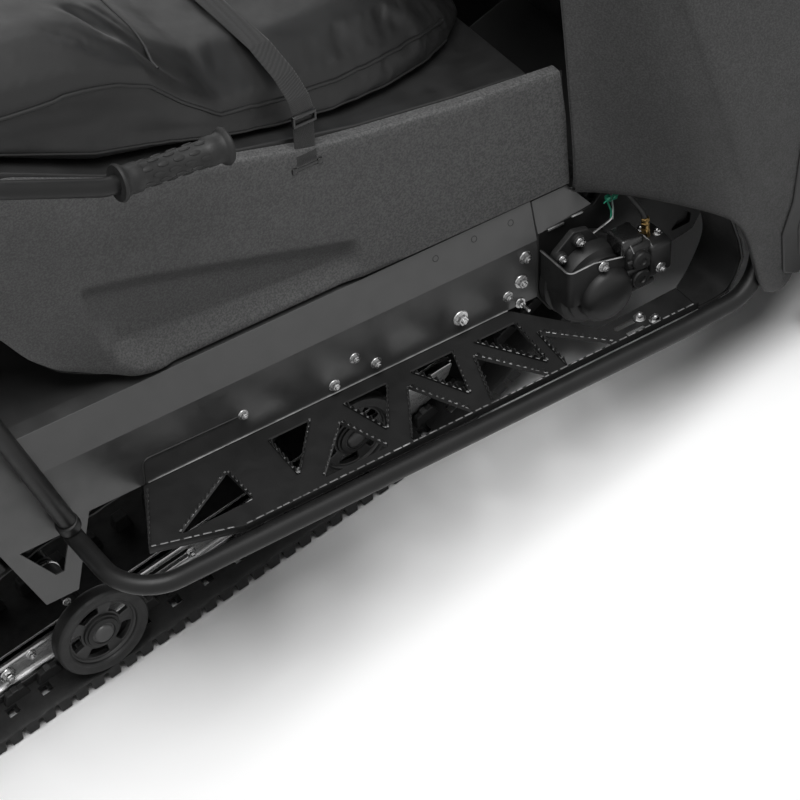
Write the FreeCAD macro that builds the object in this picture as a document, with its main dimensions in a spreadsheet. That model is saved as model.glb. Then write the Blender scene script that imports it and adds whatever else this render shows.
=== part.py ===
import FreeCAD, Part
import math
import os
import Sketcher

# A utility snowmobile for two. Row frame: +X forward, +Y to the rider's left, +Z up,
# millimetres, with the ground at z = 0. Pieces on the tunnel are drawn in the chassis
# frame, which leans nose down by tunnel_pitch about the drive axle's foot.

DOC = FreeCAD.newDocument("Snowmobile")
UP = FreeCAD.Vector(0, 0, 1)
ACROSS = FreeCAD.Vector(0, 1, 0)
PARTS = []

SIZES = (
    # chassis frame
    ("tunnel_pitch", 11.84),
    ("chassis_x", 271.0),
    ("chassis_z", 177.5),
    # tunnel
    ("tunnel_half", 272.0),
    ("tunnel_side", 96.0),
    ("tunnel_bevel", 54.0),
    ("tunnel_inset", 15.0),
    ("tunnel_tall", 153.0),
    ("tunnel_rear", 1750.0),
    ("tunnel_seam", 61.0),
    ("sheet", 2.5),
    # running boards and their outer tubes
    ("board_rear", 662.0),
    ("board_edge", 412.0),
    ("board_front", 95.0),
    ("board_sheet", 3.0),
    ("tube_radius", 12.5),
    ("rail_side", 426.0),
    ("rail_rear", 772.0),
    ("rail_bend", 72.0),
    ("toe_width", 95.0),
    # seat and its plastic
    ("panel_skin", 12.0),
    ("panel_inset", 22.0),
    ("panel_foot", 153.4),
    ("seat_half", 236.0),
    ("backrest_wide", 380.0),
    ("backrest_tall", 300.0),
    ("strap_wide", 30.0),
    ("strap_thick", 3.0),
    ("rest_gap", 0.3),
    # grab rail
    ("grip_radius", 17.0),
    ("grip_length", 138.0),
    ("grab_side", 330.0),
    ("grab_tube", 11.0),
    # track and skid
    ("track_half", 250.0),
    ("belt_thick", 6.0),
    ("lug_tall", 22.0),
    ("lug_thick", 14.0),
    ("lug_pitch", 50.5),
    ("sprocket_radius", 84.0),
    ("axle_drop", 20.0),
    ("axle_stub", 16.0),
    ("rear_wheel_radius", 89.0),
    ("rear_wheel_x", 1375.0),
    ("idler_radius", 67.5),
    ("idler_x", 492.0),
    ("carrier_radius", 62.0),
    ("carrier_x", 524.0),
    ("carrier_z", 232.0),
    ("front_curve", 150.0),
    ("front_curve_x", 20.0),
    ("slide_half", 190.0),
    ("slide_thick", 16.0),
    ("slide_tall", 46.0),
    ("shoe_tall", 12.0),
    ("wheel_wide", 24.0),
    ("belt_gap", 0.6),
    ("shaft_radius", 9.8),
    ("shock_shaft", 8.0),
    # front frame, suspension and skis
    ("frame_low", 215.0),
    ("frame_high", 440.0),
    ("frame_low_half", 150.0),
    ("frame_high_half", 170.0),
    ("frame_wall", 6.0),
    ("boss_radius", 16.0),
    ("ski_track", 490.0),
    ("ski_wide", 150.0),
    ("ski_front", 600.0),
    ("ski_rear", 470.0),
    ("ski_tip", 165.0),
    ("ski_plate", 14.0),
    ("keel_tall", 16.0),
    ("spindle_x", 1000.0),
    ("rocker_z", 105.0),
    ("rocker_pin", 8.0),
    ("kingpin_rake", 20.0),
    ("kingpin_radius", 17.0),
    ("kingpin_long", 285.0),
    ("ring_radius", 27.0),
    ("ring_tall", 40.0),
    ("pin_gap", 0.3),
    ("arm_tube", 14.0),
    ("tie_radius", 8.0),
    ("tie_inner", 100.0),
    ("tie_gap", 10.0),
    ("steer_arm", 104.0),
    ("steer_limit", 30.0),
    # steering
    ("post_x", 470.0),
    ("post_z", 540.0),
    ("post_rake", 27.0),
    ("post_long", 600.0),
    ("post_radius", 14.0),
    ("bar_half", 365.0),
    ("bar_bend", 150.0),
    ("bar_sweep", 50.0),
    ("bar_radius", 11.0),
    ("bar_grip_long", 125.0),
    ("bar_grip_radius", 16.0),
    ("lever_long", 150.0),
    ("lever_reach", 34.0),
    # bodywork
    ("cowl_skin", 5.0),
    ("screen_skin", 4.0),
    ("bumper_radius", 14.0),
)


class Dim:
    """A size: its number now, and the sheet expression that gives it."""

    def __init__(self, value, text):
        self.value = float(value)
        self.text = text

    def __add__(self, other):
        other = dim(other)
        return Dim(self.value + other.value, f"({self.text} + {other.text})")

    def __radd__(self, other):
        return dim(other) + self

    def __sub__(self, other):
        other = dim(other)
        return Dim(self.value - other.value, f"({self.text} - {other.text})")

    def __rsub__(self, other):
        return dim(other) - self

    def __mul__(self, other):
        other = dim(other)
        return Dim(self.value * other.value, f"({self.text} * {other.text})")

    def __rmul__(self, other):
        return dim(other) * self

    def __truediv__(self, other):
        other = dim(other)
        return Dim(self.value / other.value, f"({self.text} / {other.text})")

    def __neg__(self):
        return Dim(-self.value, f"(-{self.text})")


def dim(number):
    """Any number as a Dim."""
    return number if isinstance(number, Dim) else Dim(number, repr(float(number)))


def value(number):
    """The plain number of a Dim or a number."""
    return dim(number).value


def sine(angle):
    return Dim(math.sin(math.radians(angle.value)), f"sin({angle.text} * 1 deg)")


def cosine(angle):
    return Dim(math.cos(math.radians(angle.value)), f"cos({angle.text} * 1 deg)")


class Sheet:
    """The spreadsheet, with every size as an attribute that holds a Dim."""

    def __init__(self, rows):
        sheet = DOC.addObject("Spreadsheet::Sheet", "Sizes")
        for row, (alias, number) in enumerate(rows, 1):
            sheet.set(f"A{row}", alias)
            sheet.set(f"B{row}", str(number))
            sheet.setAlias(f"B{row}", alias)
            setattr(self, alias, Dim(number, f"Sizes.{alias}"))
        DOC.recompute()


S = Sheet(SIZES)
# the middle of each seat side panel's sheet, which stands on the flat of the tunnel
PANEL_SIDE = S.tunnel_half - S.panel_inset

# -------------------------------------------------------------------- helpers


def bind(thing, path, number):
    """Ties one property of an object to the sheet."""
    thing.setExpression(path, dim(number).text)


def place(thing, x=0, y=0, z=0, tilt=0, axis=ACROSS):
    """Moves an object to a point, turned by tilt degrees about the axis."""
    turn = FreeCAD.Rotation(axis, value(tilt))
    thing.Placement = FreeCAD.Placement(FreeCAD.Vector(value(x), value(y), value(z)), turn)
    bind(thing, "Placement.Base.x", x)
    bind(thing, "Placement.Base.y", y)
    bind(thing, "Placement.Base.z", z)
    if value(tilt):
        bind(thing, "Placement.Rotation.Angle", tilt)
    return thing


def on_chassis(thing):
    """Puts an object drawn in the chassis frame into the row frame."""
    return place(thing, S.chassis_x, 0, S.chassis_z, S.tunnel_pitch)


def chassis_point(x, y, z):
    """A chassis-frame point in the row frame, as Dims."""
    lean_x, lean_z = cosine(S.tunnel_pitch), sine(S.tunnel_pitch)
    return (S.chassis_x + x * lean_x + z * lean_z, dim(y), S.chassis_z - x * lean_z + z * lean_x)


def keep(thing, name):
    """Names a finished sub-part, which is exported under that name."""
    thing.Label = name
    PARTS.append(thing)
    return thing


def mirrored(thing, name):
    """The left-hand twin of a right-hand piece."""
    twin = DOC.addObject("Part::Mirroring", name)
    twin.Source = thing
    twin.Base = FreeCAD.Vector(0, 0, 0)
    twin.Normal = ACROSS
    return keep(twin, name)


def pair(thing, name):
    """Keeps a right-hand piece and makes the left-hand one."""
    keep(thing, name + "_right")
    return mirrored(thing, name + "_left")


def new_body(name):
    body = DOC.addObject("PartDesign::Body", name)
    body.Label = name
    return body


def plane_sketch(body, role, offset=0):
    """An empty sketch on one of the body's own planes, set off along its normal."""
    sketch = body.newObject("Sketcher::SketchObject", "Outline")
    plane = [item for item in body.Origin.OriginFeatures if item.Role == role][0]
    sketch.AttachmentSupport = [(plane, "")]
    sketch.MapMode = "FlatFace"
    spot = FreeCAD.Vector(0, 0, value(offset))
    sketch.AttachmentOffset = FreeCAD.Placement(spot, FreeCAD.Rotation())
    bind(sketch, "AttachmentOffset.Base.z", offset)
    return sketch


def draw(sketch, points):
    """Adds a closed outline of straight lines whose corners are bound to the sheet."""
    corners = [(dim(across), dim(along)) for across, along in points]
    first = len(sketch.Geometry)
    count = len(corners)
    lines = []
    for index, (across, along) in enumerate(corners):
        ahead = corners[(index + 1) % count]
        start = FreeCAD.Vector(across.value, along.value, 0)
        end = FreeCAD.Vector(ahead[0].value, ahead[1].value, 0)
        lines.append(Part.LineSegment(start, end))
    sketch.addGeometry(lines, False)
    for index in range(count):
        ahead = (index + 1) % count
        sketch.addConstraint(Sketcher.Constraint("Coincident", first + index, 2, first + ahead, 1))
    for index, corner in enumerate(corners):
        for kind, number in zip(("DistanceX", "DistanceY"), corner):
            rule = Sketcher.Constraint(kind, -1, 1, first + index, 1, number.value)
            place_in_list = sketch.addConstraint(rule)
            sketch.setExpression(f"Constraints[{place_in_list}]", number.text)


def draw_circle(sketch, across, along, radius):
    """Adds a circle whose centre and radius are bound to the sheet."""
    centre = FreeCAD.Vector(value(across), value(along), 0)
    ring = sketch.addGeometry(Part.Circle(centre, FreeCAD.Vector(0, 0, 1), value(radius)), False)
    numbers = (("DistanceX", dim(across)), ("DistanceY", dim(along)))
    for kind, number in numbers:
        rule = Sketcher.Constraint(kind, -1, 1, ring, 3, number.value)
        place_in_list = sketch.addConstraint(rule)
        sketch.setExpression(f"Constraints[{place_in_list}]", number.text)
    place_in_list = sketch.addConstraint(Sketcher.Constraint("Radius", ring, value(radius)))
    sketch.setExpression(f"Constraints[{place_in_list}]", dim(radius).text)


def pad(body, role, points, start, length, holes=(), circles=()):
    """A slab from an outline. It runs from start by length along the plane's world axis."""
    backward = role == "XZ_Plane"
    sketch = plane_sketch(body, role, -dim(start) if backward else start)
    draw(sketch, points)
    for hole in holes:
        draw(sketch, hole)
    for circle in circles:
        draw_circle(sketch, *circle)
    slab = body.newObject("PartDesign::Pad", "Slab")
    slab.Profile = sketch
    slab.Reversed = backward
    slab.Length = value(length)
    bind(slab, "Length", length)
    return slab


def pocket(body, role, points, start, length):
    """A cut from an outline, from start by length along the plane's world axis."""
    backward = role == "XZ_Plane"
    sketch = plane_sketch(body, role, -dim(start) if backward else start)
    draw(sketch, points)
    cut = body.newObject("PartDesign::Pocket", "Cut")
    cut.Profile = sketch
    cut.Reversed = not backward
    cut.Length = value(length)
    bind(cut, "Length", length)
    return cut


def turned(body, profile):
    """A solid of revolution about +Y, from (radius, y) points."""
    sketch = plane_sketch(body, "XY_Plane")
    draw(sketch, profile)
    spin = body.newObject("PartDesign::Revolution", "Turned")
    spin.Profile = sketch
    spin.ReferenceAxis = (sketch, ["V_Axis"])
    spin.Angle = 360
    return spin


def loft(body, role, sections):
    """A straight-ruled loft through (offset, points) sections on parallel planes."""
    sketches = []
    for offset, points in sections:
        sketch = plane_sketch(body, role, offset)
        draw(sketch, points)
        sketches.append(sketch)
    skin = body.newObject("PartDesign::AdditiveLoft", "Loft")
    skin.Profile = sketches[0]
    skin.Sections = sketches[1:]
    skin.Ruled = True
    return skin


def block(name, length, width, height, x, y, z):
    """A box bound to the sheet, from its low corner."""
    box = DOC.addObject("Part::Box", name)
    for field, number in (("Length", length), ("Width", width), ("Height", height)):
        setattr(box, field, value(number))
        bind(box, field, number)
    return place(box, x, y, z)


def rod(name, radius, length, x, y, z, axis=ACROSS):
    """A round bar along the axis, starting at the point."""
    bar = DOC.addObject("Part::Cylinder", name)
    bar.Radius = value(radius)
    bar.Height = value(length)
    bind(bar, "Radius", radius)
    bind(bar, "Height", length)
    place(bar, x, y, z)
    bar.Placement = FreeCAD.Placement(bar.Placement.Base, FreeCAD.Rotation(UP, axis))
    return bar


def feature(name, shape):
    """A document object around a shape made with Part's own functions."""
    thing = DOC.addObject("Part::Feature", name)
    thing.Shape = shape
    return thing


def fused(name, pieces):
    """One solid from several touching pieces."""
    whole = DOC.addObject("Part::MultiFuse", name)
    whole.Shapes = pieces
    return whole


def group(name, pieces):
    """Several solids that share a node."""
    whole = DOC.addObject("Part::Compound", name)
    whole.Links = pieces
    return whole


def cut(name, base, tool):
    """The base less the tool."""
    rest = DOC.addObject("Part::Cut", name)
    rest.Base = base
    rest.Tool = tool
    return rest


def vector(x, y, z):
    return FreeCAD.Vector(value(x), value(y), value(z))


def bent_path(points, bend):
    """A wire of straight runs joined by tangent arcs of the bend radius."""
    corners = [vector(*point) for point in points]
    edges = []
    here = corners[0]
    for before, corner, after in zip(corners, corners[1:], corners[2:]):
        back = (before - corner).normalize()
        on = (after - corner).normalize()
        half = back.getAngle(on) / 2
        reach = value(bend) / math.tan(half)
        limit = 0.48 * min((before - corner).Length, (after - corner).Length)
        reach = min(reach, limit)
        radius = reach * math.tan(half)
        start = corner + back * reach
        end = corner + on * reach
        middle = (back + on).normalize()
        depth = radius / math.sin(half) - radius
        edges.append(Part.LineSegment(here, start).toShape())
        edges.append(Part.Arc(start, corner + middle * depth, end).toShape())
        here = end
    edges.append(Part.LineSegment(here, corners[-1]).toShape())
    return Part.Wire(edges)


def tube(name, points, radius, bend):
    """A round bar bent along the points."""
    path = bent_path(points, bend)
    start = path.Edges[0]
    heading = start.tangentAt(start.FirstParameter)
    ring = Part.Circle(path.Vertexes[0].Point, heading, value(radius)).toShape()
    shape = path.makePipeShell([Part.Wire([ring])], True, True)
    return feature(name, shape)


def both_sides(points):
    """A path that is drawn on the right and comes back mirrored on the left."""
    return list(points) + [(x, -dim(y), z) for x, y, z in reversed(points)]

# --------------------------------------------------------------------- tunnel


def tunnel_line(inward):
    """The tunnel's right-to-left cross-section line, moved inward by a skin."""
    half, side, bevel = S.tunnel_half - inward, S.tunnel_side, S.tunnel_bevel
    shoulder = half - S.tunnel_inset
    deck = shoulder - 20
    right = [(-half, dim(0)), (-half, side), (-shoulder, side + bevel), (-deck, S.tunnel_tall - inward)]
    return right + [(-across, tall) for across, tall in reversed(right)]


def make_tunnel():
    body = new_body("tunnel_sheet")
    section = tunnel_line(dim(0)) + list(reversed(tunnel_line(S.sheet)))
    pad(body, "YZ_Plane", section, -S.tunnel_rear, S.tunnel_rear - S.tunnel_seam)
    for side in (-1, 1):
        skin = S.sheet if side < 0 else dim(0)
        bracket = [(-868, 4), (-738, 4), (-766, -120), (-812, -120)]
        window = [(-838, -16), (-768, -16), (-782, -78), (-794, -78)]
        pad(body, "XZ_Plane", bracket, side * (S.tunnel_half - S.sheet) - skin, S.sheet, holes=[window])
    keep(on_chassis(body), "tunnel")


def make_front_frame():
    """Side plates round the drive axle, and the box that carries the ski suspension."""
    pieces = []
    for side in (-1, 1):
        body = new_body("frame_plate")
        low = S.tunnel_half - 6 if side > 0 else -S.tunnel_half
        outline = [(-S.tunnel_seam, 0), (-40, -34), (50, -38), (150, -10), (240, 60), (400, 120), (496, 170),
                   (496, 320), (300, 300), (60, 148), (-S.tunnel_seam, 148)]
        pad(body, "XZ_Plane", outline, low, 6, circles=[(0, S.axle_drop, 34)])
        pieces.append(on_chassis(body))
    cross = block("frame_cross", 8, 2 * S.tunnel_half - 12, 150, 781, -S.tunnel_half + 6, 235)
    keep(fused("frame_whole", pieces + [cross]), "front_frame")


def frame_half(height):
    """Half the bulkhead's width at a height."""
    share = (height - S.frame_low) / (S.frame_high - S.frame_low)
    return S.frame_low_half + (S.frame_high_half - S.frame_low_half) * share


def make_bulkhead():
    """The box between the suspension arms, open at its ends, with a window for the tie rods' swing."""
    body = new_body("bulkhead_box")
    rings = []
    for wall in (dim(0), S.frame_wall):
        low, high = S.frame_low + wall, S.frame_high - wall
        low_half, high_half = S.frame_low_half - wall, S.frame_high_half - wall
        rings.append([(-low_half, low), (low_half, low), (high_half, high), (-high_half, high)])
    pad(body, "YZ_Plane", rings[0], 789, 261, holes=[rings[1]])
    x, _, z = tie_spot(-1)
    swing = S.steer_arm * (1 - cosine(S.steer_limit))
    room = S.tie_radius + S.tie_gap
    window = block("tie_window", swing * cosine(S.kingpin_rake) + 2 * room, 2 * S.frame_high_half + 20,
                   swing * sine(S.kingpin_rake) + 2 * room, x - room, -S.frame_high_half - 10, z - room)
    tower = new_body("shock_tower")
    _, top = shock_ends()
    high = value(top[2])
    half = [(168, value(S.frame_high)), (120, high - 30), (190, high), (190, high + 16)]
    pad(tower, "YZ_Plane", half + [(-y, z) for y, z in reversed(half)], top[0] - 6, 12)
    cups = []
    for side in (-1, 1):
        low, head = (vector(x, -side * y, z) for x, y, z in shock_ends())
        cups.append(feature("shock_cup", Part.makeCylinder(24, 6, head, head - low)))
    keep(fused("bulkhead_whole", [cut("bulkhead_open", body, window), tower] + cups), "bulkhead")


def make_engine():
    keep(block("engine", 281, 380, 250, 500, -190, 265), "engine_block")


def make_steering_bearing(hood):
    """The bearing that the steering post's foot turns in, and the stay that the hood rests on."""
    body = new_body("bearing_case")
    outline = [(430, 500), (497, 500), (497, 515), (600, 515), (600, 525), (500, 532), (495, 575), (430, 575)]
    pad(body, "XZ_Plane", outline, -32, 64)
    stay = block("hood_stay", 40, 40, 402, 560, -20, 515)
    foot, head = (vector(x, 0, z) for x, z in (post_point(-S.pin_gap), post_point(80)))
    hole = Part.makeCylinder(value(S.post_radius + S.pin_gap), (head - foot).Length, foot, head - foot)
    case = cut("bearing_bored", fused("bearing_solid", [body, stay]), feature("post_hole", hole))
    keep(cut("bearing_under_hood", case, hood), "steering_bearing")


# ------------------------------------------------------------- running boards


# The triangles that leave a zigzag of bars: the tip and the two corners of the base along the board, then
# how far the tip and the base lie in from the edge that each is near.
OUTWARD_HOLES = ((-566, -673, -565, 40, 40), (-403, -476, -379, 48, 20), (-297, -350, -257, 44, 10),
                 (-196, -228, -139, 45, 8), (-104, -111, -34, 56, 8))
INWARD_HOLES = ((-498, -494, -430, 41, 21), (-363, -382, -313, 44, 21), (-241, -280, -212, 37, 21),
                (-126, -182, -116, 27, 23))


def board_holes():
    """Triangles with their bases along the outer edge, and others between them along the tunnel."""
    inner, outer = -S.tunnel_half, -S.board_edge
    holes = []
    for tip, rear, front, tip_in, base_in in OUTWARD_HOLES:
        holes.append([(rear, outer + base_in), (front, outer + base_in), (tip, inner - tip_in)])
    for tip, rear, front, tip_in, base_in in INWARD_HOLES:
        holes.append([(front, inner - base_in), (rear, inner - base_in), (tip, outer + tip_in)])
    return holes


def make_running_boards():
    body = new_body("board_plate")
    edge = -S.board_edge
    rear = -S.board_rear
    outline = [(rear, -S.tunnel_half - 0.3), (-108, -S.tunnel_half - 0.3), (-33, -369), (S.board_front, -364),
               (S.board_front, edge), (rear + 60, edge), (rear - 55, -376)]
    slots = [[(-20, -388), (12, -388), (12, -380), (-20, -380)]]
    pad(body, "XY_Plane", outline, -S.board_sheet, S.board_sheet, holes=board_holes() + slots)
    lip = [(rear + 60, edge), (S.board_front, edge), (S.board_front, edge + 3), (rear + 60, edge + 3)]
    pad(body, "XY_Plane", lip, -S.board_sheet, S.board_sheet + 9)
    toe = [(S.board_front, -S.board_sheet), (145, 0), (166, 50), (133, 150), (130, 148), (162, 50), (142, 3),
           (S.board_front, 0)]
    pad(body, "XZ_Plane", toe, edge, S.toe_width - 20)
    pair(on_chassis(body), "running_board")


def make_side_rails():
    side = -S.rail_side
    rear = -S.rail_rear
    drop = -S.tube_radius + 4
    points = [(rear, -S.tunnel_half - 14, drop), (rear, side, drop), (60, side, drop),
              (190, side, drop + 6), (215, side + 60, 120), (205, side + 90, 230)]
    pair(on_chassis(tube("side_tube", points, S.tube_radius, S.rail_bend)), "side_rail")


# ---------------------------------------------------------- seat and its sides


def make_seat_panels():
    body = new_body("panel_sheet")
    foot = S.panel_foot
    outline = [(-3, foot), (-625, foot + 3), (-653, foot + 11), (-693, 179), (-745, 211), (-782, 251),
               (-816, 303), (-900, 352), (-1170, 420), (-1190, 545), (-780, 521), (-656, 462), (-482, 417),
               (-386, 390), (-314, 377), (-168, 355), (-14, 338)]
    pad(body, "XZ_Plane", outline, -PANEL_SIDE - S.panel_skin * 0.5, S.panel_skin)
    pair(on_chassis(body), "seat_panel")


SEAT_STATIONS = (
    # along, half width, bottom, edge height, crown height
    (-60, 120, 345, 385, 410),
    (-168, 190, 358, 415, 452),
    (-314, 225, 380, 430, 470),
    (-480, 236, 420, 462, 498),
    (-570, 236, 444, 545, 588),
    (-656, 236, 465, 575, 622),
    (-780, 236, 527, 590, 640),
    (-1150, 225, 552, 600, 650),
)


def seat_section(half, bottom, edge, crown):
    """Half of the seat's outline is mirrored to the other side."""
    right = [(-half, bottom), (-half, edge), (-half + 22, crown - 16), (-half + 70, crown)]
    return right + [(-across, tall) for across, tall in reversed(right)]


def make_seat():
    body = new_body("seat_foam")
    sections = []
    for along, half, bottom, edge, crown in SEAT_STATIONS:
        sections.append((along, seat_section(S.seat_half - (236 - half), bottom, edge, crown)))
    loft(body, "YZ_Plane", sections)
    keep(on_chassis(body), "seat")


def make_seat_box():
    """The closed box under the seat, between the side panels."""
    body = new_body("box_shell")
    top = [(along, bottom - S.rest_gap) for along, _, bottom, _, _ in reversed(SEAT_STATIONS)]
    outline = [(-15, S.tunnel_tall), (-640, S.tunnel_tall), (-800, 300), (-1150, 425)] + top
    width = 2 * (PANEL_SIDE - S.panel_skin * 0.5)
    pad(body, "XZ_Plane", outline, -width / 2, width)
    keep(on_chassis(body), "seat_box")


def make_seat_strap():
    body = new_body("strap_band")
    outer, inner = [], []
    for gap, line in ((S.strap_thick + S.rest_gap, outer), (S.rest_gap, inner)):
        half = PANEL_SIDE + S.panel_skin * 0.5 + gap
        line += [(-half, 372), (-half, 448 + gap), (-half + 38, 474 + gap), (-half + 90, 486 + gap)]
        line += [(-across, tall) for across, tall in reversed(line)]
    section = outer + list(reversed(inner))
    pad(body, "YZ_Plane", section, -394 - S.strap_wide / 2, S.strap_wide)
    keep(on_chassis(body), "seat_strap")


BACKREST_BACK = -1188.5
BACKREST_FOOT = 665
BACKREST_LEAN = 0.0563


def backrest_pad(name):
    """The backrest, drawn in the chassis frame."""
    body = new_body(name)
    front, back, foot = -1110, BACKREST_BACK, BACKREST_FOOT
    wide, tall = S.backrest_wide, S.backrest_tall
    outline = [(front, foot), (back, foot), (back - BACKREST_LEAN * tall, foot + tall),
               (front - 50, foot + tall)]
    pad(body, "XZ_Plane", outline, -wide / 2, wide)
    return body


def make_backrest():
    keep(on_chassis(backrest_pad("backrest_foam")), "backrest")


def make_grab_rail():
    """Uprights from the side rails, and the bar round the back with its two handles."""
    side = S.grab_side
    bar_rear, bar_top = -1260, 610
    half = [(-545, -side, 509), (-700, -side, 523), (-850, -side + 4, 588), (-1080, -side + 20, bar_top),
            (bar_rear, -side + 90, bar_top)]
    bar = tube("grab_bar", both_sides(half), S.grab_tube, 60)
    tube_top = dim(4)
    foot = (-S.rail_rear - 2, -S.tunnel_half - 15, tube_top + 6)
    head = (-1010, -side + 14, 600)
    legs = []
    for side_sign in (1, -1):
        ends = [(x, side_sign * dim(y), z) for x, y, z in (foot, head)]
        legs.append(straight_bar("leg", ends[0], ends[1], S.tube_radius))
        low, high = [(foot[0], ends[0][1], tube_top + lift) for lift in (0.1, 15)]
        legs.append(straight_bar("collar", low, high, S.tube_radius + 2))
    post, press = 10, 1
    lean = [(BACKREST_BACK - BACKREST_LEAN * (z - BACKREST_FOOT) - post + press, z) for z in (700, 900)]
    posts = []
    for y in (-120, 120):
        spots = [(bar_rear, y, bar_top)] + [(x, y, z) for x, z in lean]
        posts += [straight_bar("post", low, high, post) for low, high in zip(spots, spots[1:])]
        posts.append(feature("post_joint", Part.makeSphere(post, vector(*spots[1]))))
    pad_room = backrest_pad("backrest_room")
    keep(on_chassis(cut("grab_whole", fused("grab_frame", [bar] + legs + posts), pad_room)), "grab_rail")


def straight_bar(name, start, end, radius):
    """A round bar between two points."""
    low, high = vector(*start), vector(*end)
    return feature(name, Part.makeCylinder(value(radius), (high - low).Length, low, high - low))


def make_grab_grips():
    pieces = []
    for side in (-1, 1):
        low = (-545, side * S.grab_side, 509)
        high = (-682, side * S.grab_side, 521.4)
        start, end = vector(*low), vector(*high)
        along = (end - start).normalize()
        inner = Part.makeCylinder(value(S.grab_tube) + 0.1, 400, start - along * 5, along)
        sleeve = Part.makeCylinder(value(S.grip_radius), value(S.grip_length), start - along * 2, along)
        for shift in (-4, value(S.grip_length) - 4):
            sleeve = sleeve.fuse(Part.makeCylinder(value(S.grip_radius) + 7, 6, start + along * shift, along))
        pieces.append(feature("grip_sleeve", sleeve.cut(inner)))
    keep(on_chassis(group("grip_pair", pieces)), "grab_grips")


# ------------------------------------------------------------------- rear end


def make_rear_rack():
    deck = S.tunnel_tall + 34
    rear = -S.tunnel_rear + 20
    reach, front, first, spacing, count = 215, -1215, -1290, 90, 5
    half = [(front, -reach, deck), (rear + 40, -reach, deck), (rear, -reach + 45, deck)]
    loop = tube("rack_loop", both_sides(half), 11, 40)
    bars = [loop]
    spots = [first - step * spacing for step in range(count)]
    for along in spots:
        bars.append(straight_bar("rack_bar", (along, -reach, deck), (along, reach, deck), 8))
    for along in (spots[0], spots[-1]):
        for side in (-1, 1):
            foot, head = ((along, side * (reach - 15), tall) for tall in (S.tunnel_tall, deck))
            bars.append(straight_bar("rack_foot", foot, head, 9))
    keep(on_chassis(fused("rack_frame", bars)), "rear_rack")


def make_rear_bumper():
    outer = -S.tunnel_half - S.tube_radius
    rear = -S.tunnel_rear
    half = [(rear + 330, outer, 70), (rear - 60, outer, 70), (rear - 150, outer + 110, 70)]
    keep(on_chassis(tube("bumper_loop", both_sides(half), S.tube_radius, 70)), "rear_bumper")


def flap_face(height):
    """Where the front of the snow flap is, above its bend."""
    return -1452 - 42 * (640 - height) / 140


def make_snow_flap():
    body = new_body("flap_sheet")
    outline = [(-1452, 640), (-1458, 640), (-1500, 500), (-1600, 300), (-1595, 297), (-1494, 500)]
    pad(body, "XZ_Plane", outline, -230, 460)
    slot = [(-58, 452), (58, 452), (58, 502), (-58, 502)]
    pocket(body, "YZ_Plane", slot, -1570, 130)
    keep(body, "snow_flap")


def make_tail_light():
    lamp = block("lamp_box", 26, 260, 30, -S.tunnel_rear - 26, -130, S.tunnel_tall - 30)
    keep(on_chassis(group("lamp_whole", [lamp])), "tail_light")


def make_tow_hitch():
    body = new_body("hitch_plate")
    half = S.tunnel_half - S.sheet
    face, low, wide, bar_low, bar_high = -1470, 470, 45, 545, 551
    tongue = [(face, -wide), (-1560, -38), (-1560, 38), (face, wide)]
    pad(body, "XY_Plane", tongue, low, 12, circles=[(-1530, 0, 8.2)])
    web = [(face, low), (face + 8, low), (face + 8, 575), (face, 575)]
    pad(body, "XZ_Plane", web, -wide, 2 * wide)
    cross = [(flap_face(bar_low), bar_low), (-1420, bar_low), (-1420, bar_high),
             (flap_face(bar_high), bar_high)]
    pad(body, "XZ_Plane", cross, -half, 2 * half)
    keep(body, "tow_hitch")


# ------------------------------------------------------------ track and skid


def belt_circles():
    """The wheels that the belt goes round, in order: centre, radius of the belt's inside."""
    ground = S.lug_tall + S.belt_thick
    drive = chassis_point(0, 0, S.axle_drop)
    return [
        (drive[0], drive[2], S.sprocket_radius),
        (-S.carrier_x, S.carrier_z, S.carrier_radius),
        (-S.rear_wheel_x, ground + S.rear_wheel_radius, S.rear_wheel_radius),
        (S.front_curve_x, ground + S.front_curve, S.front_curve),
    ]


def belt_stretches():
    """The loop's straight and round stretches, each as (length, start state, end state).

    A state is (wheel centre x, z, radius, direction of the outward normal)."""
    wheels = [(value(x), value(z), value(radius)) for x, z, radius in belt_circles()]
    normals = []
    for here, there in zip(wheels, wheels[1:] + wheels[:1]):
        across, rise = there[0] - here[0], there[1] - here[1]
        lean = math.acos((here[2] - there[2]) / math.hypot(across, rise))
        normals.append((math.atan2(rise, across) - lean) % (2 * math.pi))
    stretches = []
    for index, here in enumerate(wheels):
        there = wheels[(index + 1) % len(wheels)]
        normal = normals[index]
        turn = (normals[(index + 1) % len(wheels)] - normal) % (2 * math.pi)
        run = math.sqrt(math.hypot(there[0] - here[0], there[1] - here[1]) ** 2 - (here[2] - there[2]) ** 2)
        stretches.append((run, here, there, normal, 0.0))
        stretches.append((turn * there[2], there, there, normal, turn))
    return stretches


def belt_spot(stretches, distance, lift):
    """The point that lies this far round the loop, lifted off the belt's inside."""
    for length, here, there, normal, turn in stretches:
        if distance <= length:
            break
        distance -= length
    share = distance / length
    angle = normal + turn * share
    spots = []
    for wheel in (here, there):
        reach = wheel[2] + lift
        spots.append((wheel[0] + reach * math.cos(angle), wheel[1] + reach * math.sin(angle)))
    (x, z), (x2, z2) = spots
    return FreeCAD.Vector(x + (x2 - x) * share, 0, z + (z2 - z) * share)


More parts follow.
